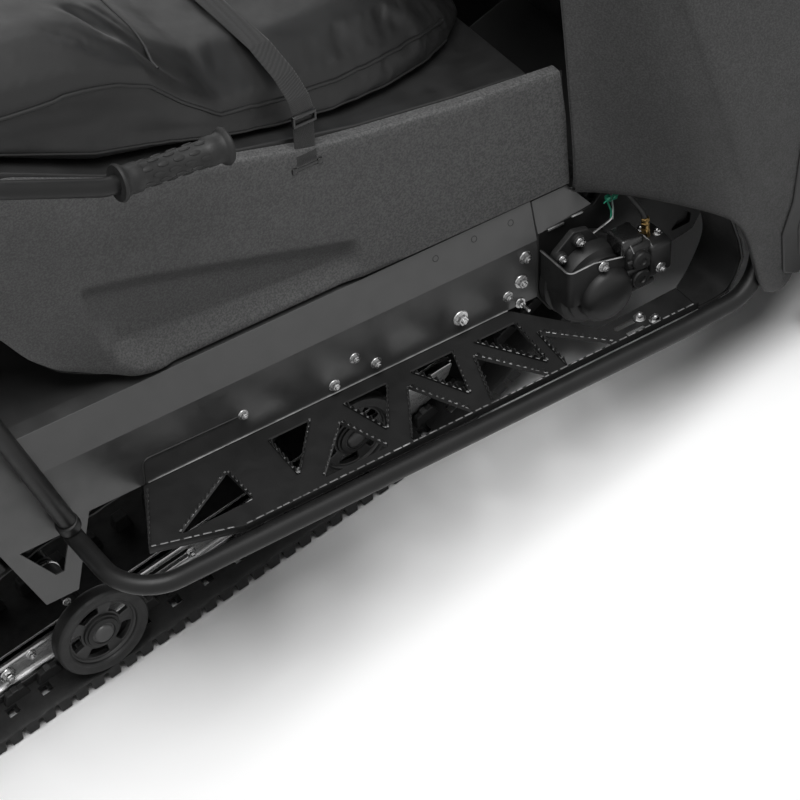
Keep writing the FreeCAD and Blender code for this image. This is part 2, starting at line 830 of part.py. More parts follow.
def make_track():
    """One loop of belt with a lug in its outline at every pitch."""
    stretches = belt_stretches()
    total = sum(stretch[0] for stretch in stretches)
    count = round(total / value(S.lug_pitch))
    pitch = total / count
    thick, tall = value(S.belt_thick), value(S.lug_tall)
    foot = value(S.lug_thick)
    marks = [(0, 0), (foot * 0.15, tall), (foot * 0.85, tall), (foot, 0), ((foot + pitch) / 2, 0)]
    outer, inner = [], []
    for index in range(count):
        for ahead, rise in marks:
            outer.append(belt_spot(stretches, index * pitch + ahead, thick + rise))
        for third in range(3):
            inner.append(belt_spot(stretches, (index + third / 3) * pitch, 0))
    rings = [Part.makePolygon(ring + ring[:1]) for ring in (outer, inner)]
    band = Part.Face([rings[0]]).cut(Part.Face([rings[1]]))
    shape = band.extrude(FreeCAD.Vector(0, 2 * value(S.track_half), 0))
    shape.translate(FreeCAD.Vector(0, -value(S.track_half), 0))
    keep(feature("track_loop", shape.Solids[0]), "track")


def wheel(name, radius, x, y, z, wide):
    """A rubber-rimmed wheel with a thin web and a hub, about an axle along Y."""
    body = new_body(name)
    half = dim(wide) / 2
    radius = radius - S.belt_gap
    profile = [(10, -half), (24, -half), (24, -4), (radius - 17, -4), (radius - 17, -half), (radius, -half),
               (radius, half), (radius - 17, half), (radius - 17, 4), (24, 4), (24, half), (10, half)]
    turned(body, profile)
    return place(body, x, y, z)


def make_track_wheels():
    ground = S.lug_tall + S.belt_thick
    pieces = []
    for side in (-1, 1):
        outside = side * (S.slide_half + S.slide_thick / 2 + S.wheel_wide / 2 + 1)
        for x in (-S.idler_x, dim(-71), dim(-820), dim(-1130)):
            wide = side * 32 if x.value == -S.idler_x.value else 0
            spot = outside + wide
            pieces.append(wheel("idler", S.idler_radius, x, spot, ground + S.idler_radius, S.wheel_wide))
        for y in (outside, side * 70):
            pieces.append(wheel("rear_wheel", S.rear_wheel_radius, -S.rear_wheel_x, y,
                                ground + S.rear_wheel_radius, S.wheel_wide))
        pieces.append(wheel("carrier", S.carrier_radius, -S.carrier_x, side * 120, S.carrier_z, S.wheel_wide))
    keep(group("wheel_set", pieces), "track_wheels")


SHOCK_FEET = (-795, -150)


def make_slide_rails():
    """The two rails that the belt slides along, and the shafts that join them."""
    ground = S.lug_tall + S.belt_thick
    low = ground + S.shoe_tall
    top = low + S.slide_tall
    pieces = []
    outline = [(-S.rear_wheel_x - 30, low + 24), (-S.rear_wheel_x + 5, low), (15, low), (58, low + 9),
               (92, low + 30), (104, low + 48), (80, low + 50), (40, top + 4), (0, top),
               (-S.rear_wheel_x + 60, top), (-S.rear_wheel_x + 40, top + 32),
               (-S.rear_wheel_x - 30, top + 32)]
    for side in (-1, 1):
        body = new_body("rail_bar")
        pad(body, "XZ_Plane", outline, side * S.slide_half - S.slide_thick / 2, S.slide_thick)
        pieces.append(body)
    shafts = ((-S.rear_wheel_x, ground + S.rear_wheel_radius, 232),
              (-S.idler_x, ground + S.idler_radius, 252),
              (dim(-71), ground + S.idler_radius, 215), (dim(-820), ground + S.idler_radius, 215),
              (dim(-1130), ground + S.idler_radius, 215))
    for x, z, half in shafts:
        pieces.append(rod("shaft", S.shaft_radius, 2 * half, x, -half, z))
    for x in SHOCK_FEET:
        pieces.append(rod("shock_shaft", S.shock_shaft, 2 * S.slide_half, x, -S.slide_half, top - 10))
    keep(fused("rail_frame", pieces), "slide_rails")


def make_slide_shoes():
    ground = S.lug_tall + S.belt_thick
    pieces = []
    wide = S.slide_thick + 2
    length = S.rear_wheel_x - 20
    for side in (-1, 1):
        y = side * S.slide_half - wide / 2
        pieces.append(block("shoe", length, wide, S.shoe_tall, -length + 15, y, ground))
    keep(group("shoe_pair", pieces), "slide_shoes")


def make_skid_arms():
    """The arms that hang the slide rails from the tunnel, each on its cross shaft."""
    ground = S.lug_tall + S.belt_thick
    rail_top = ground + S.shoe_tall + S.slide_tall
    beside = S.slide_half + S.slide_thick / 2 + 11.5
    front_x, _, front_z = chassis_point(-270, 0, 20)
    inside = S.tunnel_half - S.sheet - 0.3
    arms = (
        ("rear_arm", (-S.carrier_x, S.carrier_z), (-S.idler_x, ground + S.idler_radius), beside, 11, inside),
        ("front_arm", (front_x, front_z), (dim(-190), rail_top + 12), 150, S.arm_tube, inside),
    )
    sets = []
    for name, top, foot, y, radius, half in arms:
        pieces = []
        for side in (-1, 1):
            spot = side * dim(y)
            reach = math.hypot(value(foot[0] - top[0]), value(foot[1] - top[1]))
            short = (S.shaft_radius + 0.1) / reach if name == "rear_arm" else dim(0)
            end_x, end_z = (foot[index] + (top[index] - foot[index]) * short for index in (0, 1))
            pieces.append(straight_bar("arm", (top[0], spot, top[1]), (end_x, spot, end_z), radius))
        pieces.append(rod("pivot", S.shaft_radius, 2 * half, top[0], -half, top[1]))
        if name == "front_arm":
            pieces.append(rod("foot", 12, 2 * S.slide_half, foot[0], -S.slide_half, foot[1]))
        sets.append(fused(name, pieces))
    keep(group("arm_set", sets), "skid_arms")


def shock(name, start, end, spring, pins=()):
    """A damper with its coil, shown as a ribbed sleeve between two points, cut round its pins."""
    low, high = vector(*start), vector(*end)
    along = high - low
    length = along.Length
    rings = [(0, 9), (36, 9), (36, spring), (length - 46, spring), (length - 46, 15), (length - 14, 15),
             (length - 14, 9), (length, 9)]
    outline = [FreeCAD.Vector(0, 0, 0)]
    outline += [FreeCAD.Vector(radius, 0, height) for height, radius in rings]
    outline.append(FreeCAD.Vector(0, 0, length))
    face = Part.Face([Part.makePolygon(outline + outline[:1])])
    body = face.revolve(FreeCAD.Vector(0, 0, 0), UP, 360)
    body.Placement = FreeCAD.Placement(low, FreeCAD.Rotation(UP, along))
    return feature(name, body.cut(list(pins)) if pins else body)


def make_skid_shocks():
    """The two dampers of the skid, each from a shaft in the slide rails to the shaft of an arm above it."""
    rail_top = S.lug_tall + S.belt_thick + S.shoe_tall + S.slide_tall
    front_x, _, front_z = chassis_point(-270, 0, 20)
    pieces = []
    for name, foot_x, head, spring in (("rear_shock", SHOCK_FEET[0], (-S.carrier_x, S.carrier_z), 30),
                                       ("front_shock", SHOCK_FEET[1], (front_x, front_z), 26)):
        foot, head = vector(foot_x, 0, rail_top - 10), vector(head[0], 0, head[1])
        way = (head - foot).normalize()
        pins = [Part.makeCylinder(value(radius), 80, spot - ACROSS * 40, ACROSS)
                for radius, spot in ((S.shock_shaft, foot), (S.shaft_radius, head))]
        start, end = foot + way * (value(S.shock_shaft) - 2), head - way * (value(S.shaft_radius) - 2)
        pieces.append(shock(name, start, end, spring, pins))
    keep(group("shock_set", pieces), "skid_shocks")


def make_drive_axle():
    centre = chassis_point(0, 0, S.axle_drop)
    half = S.tunnel_half + S.axle_stub
    shaft = rod("axle_bar", 14, 2 * half, centre[0], -half, centre[2])
    pieces = [shaft]
    for y in (-150, -60, 60, 150):
        pieces.append(rod("sprocket", S.sprocket_radius - 1, 26, centre[0], y - 13, centre[2]))
    keep(fused("drive_shaft", pieces), "drive_axle")


def make_brake():
    """The brake on the axle's right-hand end: backing plate, round cover and caliper."""
    out = S.tunnel_half + S.axle_stub
    pieces = []
    for name, radius, start, length in (("back", 62, 0, 14), ("drum", 56, 14, 28), ("cover", 46, 42, 22),
                                        ("cap", 24, 64, 6)):
        pieces.append(rod(name, radius, length, 0, -(out + start + length), S.axle_drop))
    pieces.append(block("caliper", 62, 52, 58, 38, -out - 64, 22))
    pieces.append(block("bracket", 120, 10, 70, -66, -out - 10, 14))
    keep(on_chassis(fused("brake_case", pieces)), "brake_unit")


def make_brake_hose():
    """The hose from the caliper's top, in and up behind the front panel."""
    out = S.tunnel_half + S.axle_stub
    points = [(72, -out - 37, 81), (70, -out - 34, 108), (58, -out - 18, 134), (46, -out - 4, 160),
              (40, -out + 1, 200)]
    keep(on_chassis(tube("hose_run", points, 4.5, 30)), "brake_hose")


# ------------------------------------------------------ skis and suspension


def kingpin_point(along, side=-1, back=0):
    """A point on the kingpin, along it from the rocker pin, and back from it at right angles."""
    lean, rise = sine(S.kingpin_rake), cosine(S.kingpin_rake)
    x = S.spindle_x - along * lean - back * rise
    return (x, side * S.ski_track, S.rocker_z + along * rise - back * lean)


def tie_spot(side, along=231):
    """A point on the pin that joins the tie rod to the steering arm, at the rod's own height by default."""
    return kingpin_point(along, side, S.steer_arm)


RING_SPOTS = (110.0, 305.0)
# each arm: its ring's place along the kingpin, its bosses' height and where they are along the bulkhead
LOWER_ARM = (RING_SPOTS[0], 238, (872, 1026))
UPPER_ARM = (RING_SPOTS[1], 412, (852, 1026))


def make_spindles():
    """The upright that turns with the ski: post, shoulders, foot and steering arm."""
    top = S.kingpin_long + 60
    rings = [(0, 50), (S.kingpin_radius + 7, 50)]
    for spot in RING_SPOTS:
        low, high = spot - S.ring_tall / 2 - 0.5, spot + S.ring_tall / 2 + 0.5
        rings += [(S.kingpin_radius + 7, low), (S.kingpin_radius, low), (S.kingpin_radius, high),
                  (S.kingpin_radius + 7, high)]
    rings += [(S.kingpin_radius + 7, top), (0, top)]
    profile = [FreeCAD.Vector(value(radius), 0, value(height)) for radius, height in rings]
    post = Part.Face([Part.makePolygon(profile + profile[:1])]).revolve(FreeCAD.Vector(0, 0, 0), UP, 360)
    lean = FreeCAD.Rotation(ACROSS, -value(S.kingpin_rake))
    pivot = vector(S.spindle_x, -S.ski_track, S.rocker_z)
    foot = Part.makeBox(52, 44, 78, FreeCAD.Vector(-26, -22, -20))
    reach = value(S.steer_arm) + 14
    arm = Part.makeBox(reach, 26, 14, FreeCAD.Vector(-reach, -13, 208))
    shape = post.fuse([foot, arm])
    shape.Placement = FreeCAD.Placement(pivot, lean)
    bore = Part.makeCylinder(value(S.rocker_pin + S.pin_gap), 60, pivot - ACROSS * 30, ACROSS)
    eye_low = vector(*tie_spot(-1, 200))
    eye_way = vector(*tie_spot(-1, 201)) - eye_low
    eye = Part.makeCylinder(5.3, 60, eye_low - eye_way * 10, eye_way)
    pair(feature("spindle_post", shape.removeSplitter().cut([bore, eye])), "spindle")


def make_tie_rods():
    """The rod from the steering arm, through the bulkhead's window, to the linkage inside it."""
    outer = vector(*tie_spot(-1))
    inner = FreeCAD.Vector(outer.x, -value(S.tie_inner), outer.z)
    way = vector(*tie_spot(-1, 201)) - vector(*tie_spot(-1, 200))
    bar = Part.makeCylinder(value(S.tie_radius), (inner - outer).Length, outer, inner - outer)
    eye = Part.makeCylinder(13, 16, outer - way * 8, way)
    pin = Part.makeCylinder(5, 34, outer - way * 30, way)
    pair(feature("tie_bar", bar.fuse([eye, pin]).removeSplitter()), "tie_rod")


def ring_at(spot):
    """The round end of a suspension arm, which the kingpin turns in."""
    centre = vector(*kingpin_point(spot))
    way = vector(*kingpin_point(spot + 1)) - centre
    low = centre - way * (value(S.ring_tall) / 2)
    outside = Part.makeCylinder(value(S.ring_radius), value(S.ring_tall), low, way)
    inside = Part.makeCylinder(value(S.kingpin_radius + S.pin_gap), value(S.ring_tall), low, way)
    return outside, inside


def arm_feet(height, spread):
    """Where one suspension arm's two bosses turn, beside the bulkhead."""
    side = -frame_half(height) - S.boss_radius - 0.4
    return [vector(x, side, height) for x in spread]


def arm_bar(feet, hub):
    """The ends of the cross bar that ties an arm's two legs."""
    return [foot * 0.55 + hub * 0.45 for foot in feet]


def shock_ends():
    """The right-hand ski shock's ends: on the lower arm's pedestal and under the tower's cup."""
    near, far = arm_bar(arm_feet(*LOWER_ARM[1:]), vector(*kingpin_point(LOWER_ARM[0])))
    middle, head = (near + far) * 0.5, FreeCAD.Vector(905, -196, 590)
    foot = middle + (head - middle).normalize() * 26
    return tuple(foot), tuple(head)


def make_arms():
    """The lower and upper A-shaped arms of one side, each from two bosses to its ring."""
    wings = []
    for spot, height, spread in (LOWER_ARM, UPPER_ARM):
        outside, inside = ring_at(spot)
        hub = vector(*kingpin_point(spot))
        feet = arm_feet(height, spread)
        bars = []
        for foot in feet:
            way = (hub - foot).normalize()
            bars.append(Part.makeCylinder(value(S.arm_tube), (hub - foot).Length - 21, foot, way))
            low = foot - FreeCAD.Vector(20, 0, 0)
            bars.append(Part.makeCylinder(value(S.boss_radius), 40, low, FreeCAD.Vector(1, 0, 0)))
        low, high = arm_bar(feet, hub)
        bars.append(Part.makeCylinder(10, (high - low).Length, low, high - low))
        if (spot, height, spread) == LOWER_ARM:
            middle, seat = (low + high) * 0.5, vector(*shock_ends()[0])
            bars.append(Part.makeCylinder(14, (seat - middle).Length, middle, seat - middle))
        shape = outside.fuse(bars).removeSplitter().cut(inside)
        wings.append(feature("wing", shape))
    pair(group("arm_pair", wings), "a_arms")


def make_ski_shocks():
    pieces = []
    for side in (-1, 1):
        foot, head = ((x, -side * y, z) for x, y, z in shock_ends())
        pieces.append(shock("ski_shock", foot, head, 26))
    keep(group("ski_shock_pair", pieces), "ski_shocks")


def make_skis():
    """Ski plate with its keel, saddle, rocker pin and the loop at its tip."""
    body = new_body("ski_plate")
    keel = S.keel_tall
    tail, tip = S.spindle_x - S.ski_rear, S.spindle_x + S.ski_front
    rise = S.spindle_x + 330
    plate = S.ski_plate
    outline = [(tail, keel + 26), (tail + 70, keel), (rise, keel), (rise + 120, keel + 28),
               (rise + 210, keel + 82), (tip, S.ski_tip), (tip - 10, S.ski_tip + 8), (rise + 196, keel + 96),
               (rise + 112, keel + 42), (rise, keel + plate), (tail + 70, keel + plate),
               (tail - 4, keel + 40)]
    half = S.ski_wide / 2
    pad(body, "XZ_Plane", outline, -S.ski_track - half, 2 * half)
    for side in (-1, 1):
        corner = -S.ski_track + side * half
        nose = [(rise + 60, corner), (tip + 20, corner - side * 34), (tip + 20, corner + side * 20),
                (rise + 60, corner + side * 20)]
        pocket(body, "XY_Plane", nose, 0, S.ski_tip + 60)
    runner = new_body("ski_keel")
    blade = [(tail + 90, keel), (tail + 130, 0), (rise - 30, 0), (rise + 60, keel + 12), (rise, keel)]
    pad(runner, "XZ_Plane", blade, -S.ski_track - 9, 18)
    pieces = [body, runner]
    saddle_low = keel + plate
    for side in (-1, 1):
        start = -S.ski_track + side * 35 - 8
        ear = new_body("ski_ear")
        x, z = S.spindle_x, S.rocker_z
        shape = [(x - 100, saddle_low - 2), (x + 90, saddle_low - 2), (x + 50, saddle_low + 40),
                 (x + 22, z + 20), (x - 22, z + 20), (x - 60, saddle_low + 40)]
        pad(ear, "XZ_Plane", shape, start, 16)
        pieces.append(ear)
    pieces.append(rod("rocker", S.rocker_pin, 100, S.spindle_x, -S.ski_track - 50, S.rocker_z))
    reach = -S.ski_track
    loop = [(tip - 230, reach, saddle_low + 26), (tip - 190, reach, saddle_low + 150),
            (tip - 60, reach, S.ski_tip + 95), (tip - 12, reach, S.ski_tip + 30),
            (tip - 30, reach, S.ski_tip - 14)]
    pieces.append(tube("ski_loop", loop, 11, 45))
    pair(fused("ski_whole", pieces), "ski")


# -------------------------------------------------------------------- steering


def post_point(along, ahead=0):
    """A point on the steering post, along it from its foot, and ahead of it at right angles."""
    lean, rise = sine(S.post_rake), cosine(S.post_rake)
    return (S.post_x - along * lean + ahead * rise, S.post_z + along * rise + ahead * lean)


def make_steering_post():
    x, z = post_point(0)
    top_x, top_z = post_point(S.post_long)
    post = straight_bar("post_bar", (x, 0, z), (top_x, 0, top_z), S.post_radius)
    clamp = block("bar_clamp", 44, 90, 40, top_x - 22, -45, top_z - 20)
    bar = rod("clamp_hole", S.bar_radius, 100, top_x, -50, top_z)
    keep(cut("post_whole", fused("post_clamp", [post, clamp]), bar), "steering_post")


def bar_spots(side=-1):
    """The bar's end and the bend inside its grip."""
    x, z = post_point(S.post_long)
    end = (x - 10 - S.bar_sweep, side * S.bar_half, z + 12)
    return end, (x - 10, side * S.bar_bend, z + 26)


def make_handlebar():
    x, z = post_point(S.post_long)
    half = list(bar_spots()) + [(x, -80, z), (x, 0, z)]
    points = half[:-1] + [(px, -dim(py), pz) for px, py, pz in reversed(half[:-1])]
    keep(tube("bar_tube", points, S.bar_radius, 40), "handlebar")


def make_bar_grips():
    pieces = []
    for side in (-1, 1):
        end, inner = (vector(*spot) for spot in bar_spots(side))
        way = (inner - end).normalize()
        sleeve = Part.makeCylinder(value(S.bar_grip_radius), value(S.bar_grip_long), end - way * 4, way)
        hole = Part.makeCylinder(value(S.bar_radius) + 0.1, value(S.bar_grip_long) * 2, end, way)
        pieces.append(feature("bar_grip", sleeve.cut(hole)))
    keep(group("bar_grip_pair", pieces), "bar_grips")


def make_levers():
    """The brake lever on the left and the throttle lever on the right, each on its clamp beside the grip."""
    pieces = []
    clamp_long = 40
    for side in (-1, 1):
        end, inner = (vector(*spot) for spot in bar_spots(side))
        way = (inner - end).normalize()
        spot = end + way * (value(S.bar_grip_long) + 15)
        middle = spot + way * (clamp_long / 2)
        clamp = Part.makeCylinder(value(S.bar_radius) * 2, clamp_long, spot, way)
        hole = Part.makeCylinder(value(S.bar_radius) + 0.1, clamp_long + 20, spot - way * 5, way)
        reach, long = value(S.lever_reach), value(S.lever_long)
        near, far = sorted((middle.y - side * 14, middle.y - side * 14 + side * long))
        blade = Part.makeBox(14, far - near, 10, FreeCAD.Vector(middle.x + reach, near, middle.z - 14))
        horn = Part.makeBox(reach + 18, 18, 12, FreeCAD.Vector(middle.x - 4, middle.y - 9, middle.z - 14))
        pieces.append(feature("lever", clamp.fuse([blade, horn]).removeSplitter().cut(hole)))
    keep(group("lever_pair", pieces), "levers")


# -------------------------------------------------------------------- bodywork


def skin_section(line, skin):
    """A closed section from outer points (y, z, inward y, inward z)."""
    outer = [(y, z) for y, z, _, _ in line]
    inner = [(y + skin * dy, z + skin * dz) for y, z, dy, dz in line]
    return outer + list(reversed(inner))


FLANK_STATIONS = (
    # x, then (y, z) of the lower edge, the belly, the shoulder and the top edge
    (290, (-257, 327), (-258, 450), (-240, 640), (-198, 755)),
    (332, (-300, 317), (-267, 455), (-244, 670), (-225, 800)),
    (372, (-347, 308), (-320, 460), (-258, 700), (-240, 840)),
    (432, (-438, 297), (-404, 470), (-330, 735), (-262, 880)),
    (444, (-440, 240), (-414, 462), (-338, 738), (-264, 884)),
    (450, (-440, 150), (-418, 450), (-342, 740), (-266, 886)),
    (486, (-440, 116), (-440, 430), (-362, 745), (-272, 893)),
    (520, (-439, 176), (-441, 429), (-378, 738), (-275, 888)),
    (700, (-432, 205), (-445, 425), (-400, 700), (-290, 862)),
    (785, (-420, 330), (-436, 450), (-390, 690), (-288, 830)),
    (822, (-405, 462), (-425, 520), (-382, 675), (-286, 812)),
    (1010, (-332, 496), (-360, 550), (-330, 640), (-255, 722)),
    (1140, (-232, 520), (-258, 560), (-238, 615), (-190, 664)),
    (1190, (-205, 527), (-230, 560), (-212, 610), (-174, 652)),
)


def make_flanks():
    body = new_body("flank_skin")
    turns = ((1, 0), (1, 0), (0.9, -0.5), (0.4, -0.9))
    sections = []
    for x, *points in FLANK_STATIONS:
        line = [(y, z, dy, dz) for (y, z), (dy, dz) in zip(points, turns)]
        sections.append((x, skin_section(line, S.cowl_skin)))
    loft(body, "YZ_Plane", sections)
    seat_side = on_chassis(group("seat_side", [block("seat_side_box", 300, 700, 800, -300, -350, 50)]))
    reach = 438
    stay = rod("panel_stay", 9, reach - S.tunnel_half, 640, -reach, 380)
    pair(fused("flank_whole", [cut("flank", body, seat_side), stay]), "front_panel")


HOOD_STATIONS = (
    # x, outer half width and height, inner half width and height
    (486, 262, 896, 150, 932),
    (700, 280, 868, 160, 905),
    (860, 275, 798, 160, 842),
    (1010, 245, 728, 140, 770),
    (1140, 182, 668, 110, 702),
    (1195, 166, 660, 104, 682),
)


def crowned_section(half, low, half_crown, crown, skin):
    right = [(-half, low, 0.3, -1), (-half_crown, crown, 0.1, -1)]
    line = right + [(-y, z, -dy, dz) for y, z, dy, dz in reversed(right)]
    return skin_section(line, skin)


def make_hood():
    body = new_body("hood_skin")
    sections = [(x, crowned_section(half, low, half_crown, crown, S.cowl_skin))
                for x, half, low, half_crown, crown in HOOD_STATIONS]
    loft(body, "YZ_Plane", sections)
    keep(body, "hood")
    return body


def make_console():
    """The deck between the seat and the windshield, with the opening for the post."""
    body = new_body("console_skin")
    stations = ((302, 196, 762, 120, 790), (372, 232, 842, 140, 868), (432, 254, 882, 150, 908),
                HOOD_STATIONS[0])
    sections = [(x, crowned_section(half, low, half_crown, crown, S.cowl_skin))
                for x, half, low, half_crown, crown in stations]
    loft(body, "YZ_Plane", sections)
    hole = [(300, -38), (400, -38), (400, 38), (300, 38)]
    pocket(body, "XY_Plane", hole, 700, 300)
    keep(body, "dash_console")


PAN_STATIONS = (
    # x, top half width and height, bottom half width and height
    (395, 262, 235, 236, 150),
    (560, 248, 236, 222, 190),
    (700, 235, 260, 206, 222),
    (789, 162, 215, 146, 198),
    (1056, 150, 215, 130, 176),
    (1150, 140, 330, 120, 250),
    (1200, 118, 450, 100, 380),
)


def make_belly_pan():
    body = new_body("pan_skin")
    sections = []
    for x, top_half, top, low_half, low in PAN_STATIONS:
        left = [(-top_half, top, 1, 0), (-low_half, low, 0.7, 1)]
        line = left + [(-y, z, -dy, dz) for y, z, dy, dz in reversed(left)]
        sections.append((x, skin_section(line, S.cowl_skin)))
    loft(body, "YZ_Plane", sections)
    keep(body, "belly_pan")


def lamp_outline(side, gap=0):
    """The lens, or with a gap the window that it sits in."""
    low, high, near, far = 572 - gap, 634 + gap, 48 - gap, 196 + gap
    return [(side * near, low + 10), (side * (far - 20), low), (side * far, high - 22),
            (side * (near + 16), high)]


def make_nose():
    """The front face below the hood: a slatted grille and a window for each lamp."""
    body = new_body("nose_frame")
    half = [(118, 458), (204, 540), (222, 596), (158, 651)]
    outline = half + [(-y, z) for y, z in reversed(half)]
    windows = [lamp_outline(side, 2) for side in (1, -1)]
    for row in range(3):
        low = 474 + row * 31
        reach = 112 + row * 22
        windows.append([(-reach, low), (reach, low), (reach + 12, low + 19), (-reach - 12, low + 19)])
    pad(body, "YZ_Plane", outline, 1160, 12, holes=windows)
    keep(body, "nose_grille")


def make_headlights():
    pieces = []
    for side in (-1, 1):
        lens = new_body("lamp_lens")
        pad(lens, "YZ_Plane", lamp_outline(side, 1.6), 1156, 24)
        pieces.append(lens)
    keep(group("lamp_pair", pieces), "headlights")


def make_windshield():
    body = new_body("screen_sheet")
    line = [(0, -1), (0.32, -0.62), (0, 1)]
    sections = []
    for height, nose, mid, edge, half in ((880, 606, 579, 521, 241), (1130, 500, 482, 440, 212),
                                          (1335, 415, 402, 375, 180)):
        right = [(edge, -half), (mid, -half * 0.6), (nose, -half * 0.2)]
        outer = right + [(x, -y) for x, y in reversed(right)]
        inner = [(x - S.screen_skin, y) for x, y in reversed(outer)]
        sections.append((height, outer + inner))
    loft(body, "XY_Plane", sections)
    under = new_body("under_hood")
    loft(under, "YZ_Plane", [(x, crowned_section(half, low, half_crown, crown, 200))
                             for x, half, low, half_crown, crown in HOOD_STATIONS[:3]])
    keep(cut("screen_whole", body, under), "windshield")


def make_front_bumper():
    half = [(1050, -158, 335), (1235, -158, 335), (1290, -150, 420), (1280, -120, 500), (1172, -110, 520)]
    hoops = []
    for side in (1, -1):
        hoops.append(tube("bumper_hoop", [(x, side * y, z) for x, y, z in half], S.bumper_radius, 45))
    hoops.append(straight_bar("bumper_bar", (1289, -152, 415), (1289, 152, 415), 12))
    hoops.append(straight_bar("bumper_low", (1235, -158, 335), (1235, 158, 335), 12))
    keep(fused("bumper_frame", hoops), "front_bumper")


# ---------------------------------------------------------------------- build


def build():
    make_tunnel()
    make_front_frame()
    make_bulkhead()
    make_engine()
    make_running_boards()
    make_side_rails()
    make_seat_panels()
    make_seat()
    make_seat_box()
    make_seat_strap()
    make_backrest()
    make_grab_rail()
    make_grab_grips()
    make_rear_rack()
    make_rear_bumper()
    make_snow_flap()
    make_tail_light()
    make_tow_hitch()
    make_track()
    make_track_wheels()
    make_slide_rails()
    make_slide_shoes()
    make_skid_arms()
    make_skid_shocks()
    make_drive_axle()
    make_brake()
    make_brake_hose()
    make_spindles()
    make_tie_rods()
    make_arms()
    make_ski_shocks()
    make_skis()
    make_steering_post()
    make_handlebar()
    make_bar_grips()
    make_levers()
    make_flanks()
    make_steering_bearing(make_hood())
    make_console()
    make_belly_pan()
    make_nose()
    make_headlights()
    make_windshield()
    make_front_bumper()


def check():
    """Stops before anything is written if any object failed."""
    DOC.recompute()
    bad = [item.Label for item in DOC.Objects if "Invalid" in item.State or "Error" in item.State]
    for item in PARTS:
        if item.Shape.isNull() or not item.Shape.isValid() or not item.Shape.Solids:
            bad.append(item.Label + " shape")
    if bad:
        raise RuntimeError("failed: " + ", ".join(bad))


def export():
    os.makedirs("parts", exist_ok=True)
    for item in PARTS:
        item.Shape.exportStep(f"parts/{item.Label}.step")
        box = item.Shape.BoundBox
        print(f"{item.Label:22s} solids {len(item.Shape.Solids):3d}  x {box.XMin:7.0f} {box.XMax:7.0f}"
              f"  y {box.YMin:6.0f} {box.YMax:6.0f}  z {box.ZMin:6.0f} {box.ZMax:6.0f}")


build()
check()
export()
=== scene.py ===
"""A two-seat snowmobile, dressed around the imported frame.

Row frame: metres, +X forward, +Y to the rider's left, +Z up. Shapes are drawn in
millimetres, many of them in the chassis frame, which leans nose down like the tunnel.
"""

import math

import bmesh
import bpy
from mathutils import Matrix, Vector
from mathutils.bvhtree import BVHTree


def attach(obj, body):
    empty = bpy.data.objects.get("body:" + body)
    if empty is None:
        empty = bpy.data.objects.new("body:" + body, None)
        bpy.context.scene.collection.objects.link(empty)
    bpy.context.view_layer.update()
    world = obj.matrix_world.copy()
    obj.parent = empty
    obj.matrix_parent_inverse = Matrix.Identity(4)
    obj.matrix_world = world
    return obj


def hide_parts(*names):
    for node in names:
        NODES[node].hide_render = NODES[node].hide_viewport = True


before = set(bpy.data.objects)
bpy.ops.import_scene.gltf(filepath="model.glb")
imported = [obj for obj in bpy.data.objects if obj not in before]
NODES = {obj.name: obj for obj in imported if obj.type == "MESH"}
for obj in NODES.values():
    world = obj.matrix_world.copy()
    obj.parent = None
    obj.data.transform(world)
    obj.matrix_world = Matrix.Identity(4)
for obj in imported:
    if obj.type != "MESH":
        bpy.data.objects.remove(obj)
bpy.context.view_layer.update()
MM = 0.001

# ------------------------------------------------------------------- sizes, mm
PITCH = 11.84
CHASSIS = Vector((271.0, 0.0, 177.5))
TUNNEL_HALF = 272.0
TUNNEL_SIDE = 96.0
TUNNEL_TALL = 153.0
TUBE = 12.5
RAIL_SIDE = 426.0
BOARD_EDGE = 412.0
FRAME_LOW_HALF = 150.0
FRAME_HIGH_HALF = 170.0
BOSS = 16.0

# From the row frame in millimetres, and from the leaning chassis frame, to the row frame in metres.
ROW = Matrix.Scale(MM, 4)
LEAN_MM = Matrix.Translation(CHASSIS) @ Matrix.Rotation(math.radians(PITCH), 4, "Y")
LEAN = ROW @ LEAN_MM
MIRROR = Matrix.Scale(-1, 4, (0, 1, 0))

# Planes for flat outlines: upright along the sled, and level.
SIDE_PLANE = Matrix(((1, 0, 0, 0), (0, 0, -1, 0), (0, 1, 0, 0), (0, 0, 0, 1)))
FLOOR_PLANE = Matrix.Identity(4)


# ------------------------------------------------------------------- materials
def linear(level):
    """A display grey or colour from 0 to 255 as the linear value that shows it."""
    if isinstance(level, (int, float)):
        level = (level, level, level)
    steps = [channel / 255 for channel in level]
    return tuple(s / 12.92 if s <= 0.04045 else ((s + 0.055) / 1.055) ** 2.4 for s in steps) + (1.0,)


